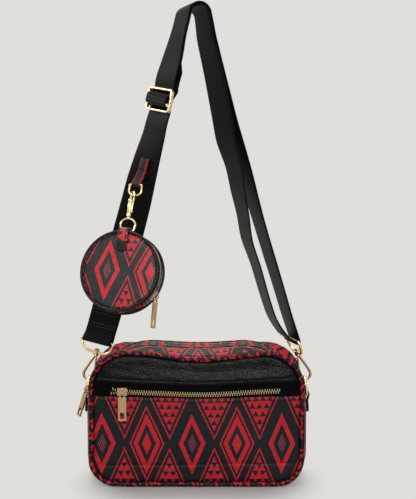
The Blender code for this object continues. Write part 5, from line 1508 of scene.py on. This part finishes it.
def makePouchTab():
    face = pouch["halfDepth"] + pouch["crown"] + gap + pouch["tabThick"]
    crest = -eyeRing["drop"] - eyeRing["tall"] + eyeRing["wire"] + 2.5 * gap + pouch["tabThick"] / 2
    shoulder = pouch["radius"] - pouch["drop"] + pouch["piping"] + gap + pouch["tabThick"]
    half = [(face, -63.2), (face, -59.0), (face, -55.0), (face, shoulder - 2.5), (face - 1.2, shoulder + 0.2)]
    half += [(face - 4.5, shoulder + 0.8), (3.6, crest - 1.6), (1.5, crest - 0.1)]
    line = [(0, -y, z) for y, z in half] + [(0, 0, crest)] + [(0, y, z) for y, z in reversed(half)]
    path = resample(smoothRun(line, 8), 150)
    run = lengths(path)
    end = np.minimum(run, run[-1] - run)
    narrow = pouch["foldHalf"] / pouch["tabHalf"]
    share = 1 - (1 - narrow) * hump(path[:, 2] - crest, 5.5)
    share = share * np.clip(1 - (1 - np.clip(end / 3.2, 0, 1)) ** 2.6, 0.03, 1) ** 0.5
    widths = np.stack([share, 0 * share, 0 * share], -1)
    rows, uv = ribbonRows(path, widths, 2 * pouch["tabHalf"], pouch["tabThick"], 0.1)
    foot = hung((0, 0, pouch["tabBlack"]))

    def belowFold(spots):
        return (spots - foot) @ pouchUp < 0

    mesh = gridMesh("pouchTab", hung(rows), uv + pouch["tabPrint"])
    addPiece(twoTone(mesh, pouchLeather, smoothLeather, belowFold), pouchLeather, "pouch_tab", "pouch")
    side = [(4.1, -53.6), (4.1, -59.8), (2.6, -61.4)]
    box = resample([(-u, v) for u, v in side] + side[::-1] + [(-4.1, -53.6)], 40)
    for name, sign in (("Front", -1), ("Back", 1)):
        spots = hung([(u, sign * (face + pouch["tabThick"] / 2 + 0.22), v) for u, v in box])
        stitchLine("pouchTabStitches" + name, spots, hungWay((0, sign, 0)), pitch=2.0, body="pouch")


def makeStrapTab():
    ringTop = hung((tabRing["x"], tabRing["y"], tabRing["top"]))
    thick, half = pouch["tabThick"], pouch["strapTabHalf"]
    lift = strap["thickness"] / 2 + 2 * gap + thick / 2
    heights = ringTop[2] + np.array(pouch["strapTabRises"])
    under = legRun([(height, lift) for height in heights])
    over = legRun([(height, lift + thick + gap) for height in heights[::-1]])
    across = hungWay((pouch["foldHalf"] / half, 0, 0))
    turn = tabRing["wire"] + gap + thick / 2
    fold = turnRun(ringTop, hungWay((0, -1, 0)), pouchUp, turn, across, 150, 390, 12)
    run = smoothRun(under + fold + over, 4)
    middle = run[:, :3]
    rows, uv = ribbonRows(middle, run[:, 3:], 2 * half, thick, 0.1)

    def nearEdge(spots):
        nearest = np.linalg.norm(spots[:, None] - middle[None], axis=2).argmin(1)
        return np.linalg.norm(spots - middle[nearest], axis=1) > half - pouch["redRim"]

    mesh = twoTone(gridMesh("strapTab", rows, uv), smoothLeather, redEdge, nearEdge)
    addPiece(mesh, smoothLeather, "strap_tab", slotName="printed_leather")
    for rise in pouch["strapTabHems"]:
        centre, wide, front = leftLegAt(ringTop[2] + rise)
        face = centre + front * (lift + thick * 1.5 + gap + 0.2)
        spots = face + np.outer(np.linspace(-3.2, 3.2, 6), wide)
        stitchLine("strapTabStitches" + str(int(rise)), spots, front, pitch=2.0, slotName="printed_leather")


def ringOutline(size):
    # A loop with a flat bar for the fold of leather it hangs from
    half, tall, flat = size["half"], size["tall"], pouch["foldHalf"] + gap + size["wire"]
    upper = arcPoints(0, 0, 1, 0, 180, 24) * (half, tall)
    lower = [(-half * 0.96, -0.35 * tall), (-flat - 0.5, -0.9 * tall), (-flat, -tall)]
    lower += [(0, -tall), (flat, -tall)]
    outline = np.vstack([upper, lower, [(-u, v) for u, v in reversed(lower[:2])]])
    return resample(smoothRun(outline, 4, closed=True), 90, closed=True)


def claspAt(points):
    turn = math.radians(clasp["turn"])
    return hung([(u * math.cos(turn), u * math.sin(turn), v) for u, v in points])


def makeClasp():
    bar = tabRing["top"] - tabRing["tall"]
    points = hung([(tabRing["x"] + u, tabRing["y"], bar - v) for u, v in ringOutline(tabRing)])
    addPiece(tubeMesh("tabRing", points, tabRing["wire"], closed=True), brass, "tab_ring", "tab_ring")

    reach = clasp["reach"]
    arch = arcPoints(reach / 2, -2.9, reach / 2, 180, -5, 20)
    wire = resample(np.vstack([[(0.0, -12.0), (0.0, -7.0)], arch]), 60)
    parts = [tubeMesh("hookWire", claspAt(wire), clasp["wire"])]
    parts.append(lathe("barrel", barrel, pouchOrigin, pouchUp, 28))
    parts.append(tubeMesh("foot", claspAt([(1.2, -18.5), (2.3, -18.5), (3.35, -18.5)]), clasp["lever"]))
    addPiece(joinMeshes("claspBody", parts), brass, "clasp_body", "clasp", sharp=50)
    lever = smoothRun([(5.8, -20.0), (5.9, -16.5), (6.6, -12.0), (7.6, -8.6), (reach, -5.9)], 8)
    addPiece(tubeMesh("claspLever", claspAt(lever), clasp["lever"]), brass, "clasp_lever", "clasp_lever")

    points = hung([(u, 0, v - eyeRing["drop"]) for u, v in ringOutline(eyeRing)])
    neck, base = eyeRing["tall"] - eyeRing["drop"], clasp["base"] - gap
    collar = [(neck, 1.6), (neck + 0.3, 2.1), (base - 0.3, 2.2), (base, 1.9)]
    parts = [tubeMesh("eye", points, eyeRing["wire"], closed=True)]
    parts.append(lathe("collar", collar, pouchOrigin, pouchUp))
    addPiece(joinMeshes("swivelEye", parts), brass, "swivel_eye", "swivel_eye", sharp=50)


makePouchBody()
makePouchTab()
makeStrapTab()
makeClasp()
print("pouch ready")


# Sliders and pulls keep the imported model's shapes, with softened edges

softEdge = {"width": 0.22, "steps": 2, "angle": 40}
for name in ("front", "top_front", "top_rear", "pouch"):
    for part in ("slider", "pull"):
        piece = nodes[name + "_" + part]
        piece.data.materials.clear()
        piece.data.materials.append(agedBrass)
        bevel = piece.modifiers.new("soft edges", "BEVEL")
        bevel.width = softEdge["width"] * mm
        bevel.segments = softEdge["steps"]
        bevel.limit_method = "ANGLE"
        bevel.angle_limit = math.radians(softEdge["angle"])
print("sliders ready")

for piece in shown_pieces():
    if piece.type == "MESH" and piece.get("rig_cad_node") and not piece.modifiers:
        print("still the packed model's own:", piece.name)
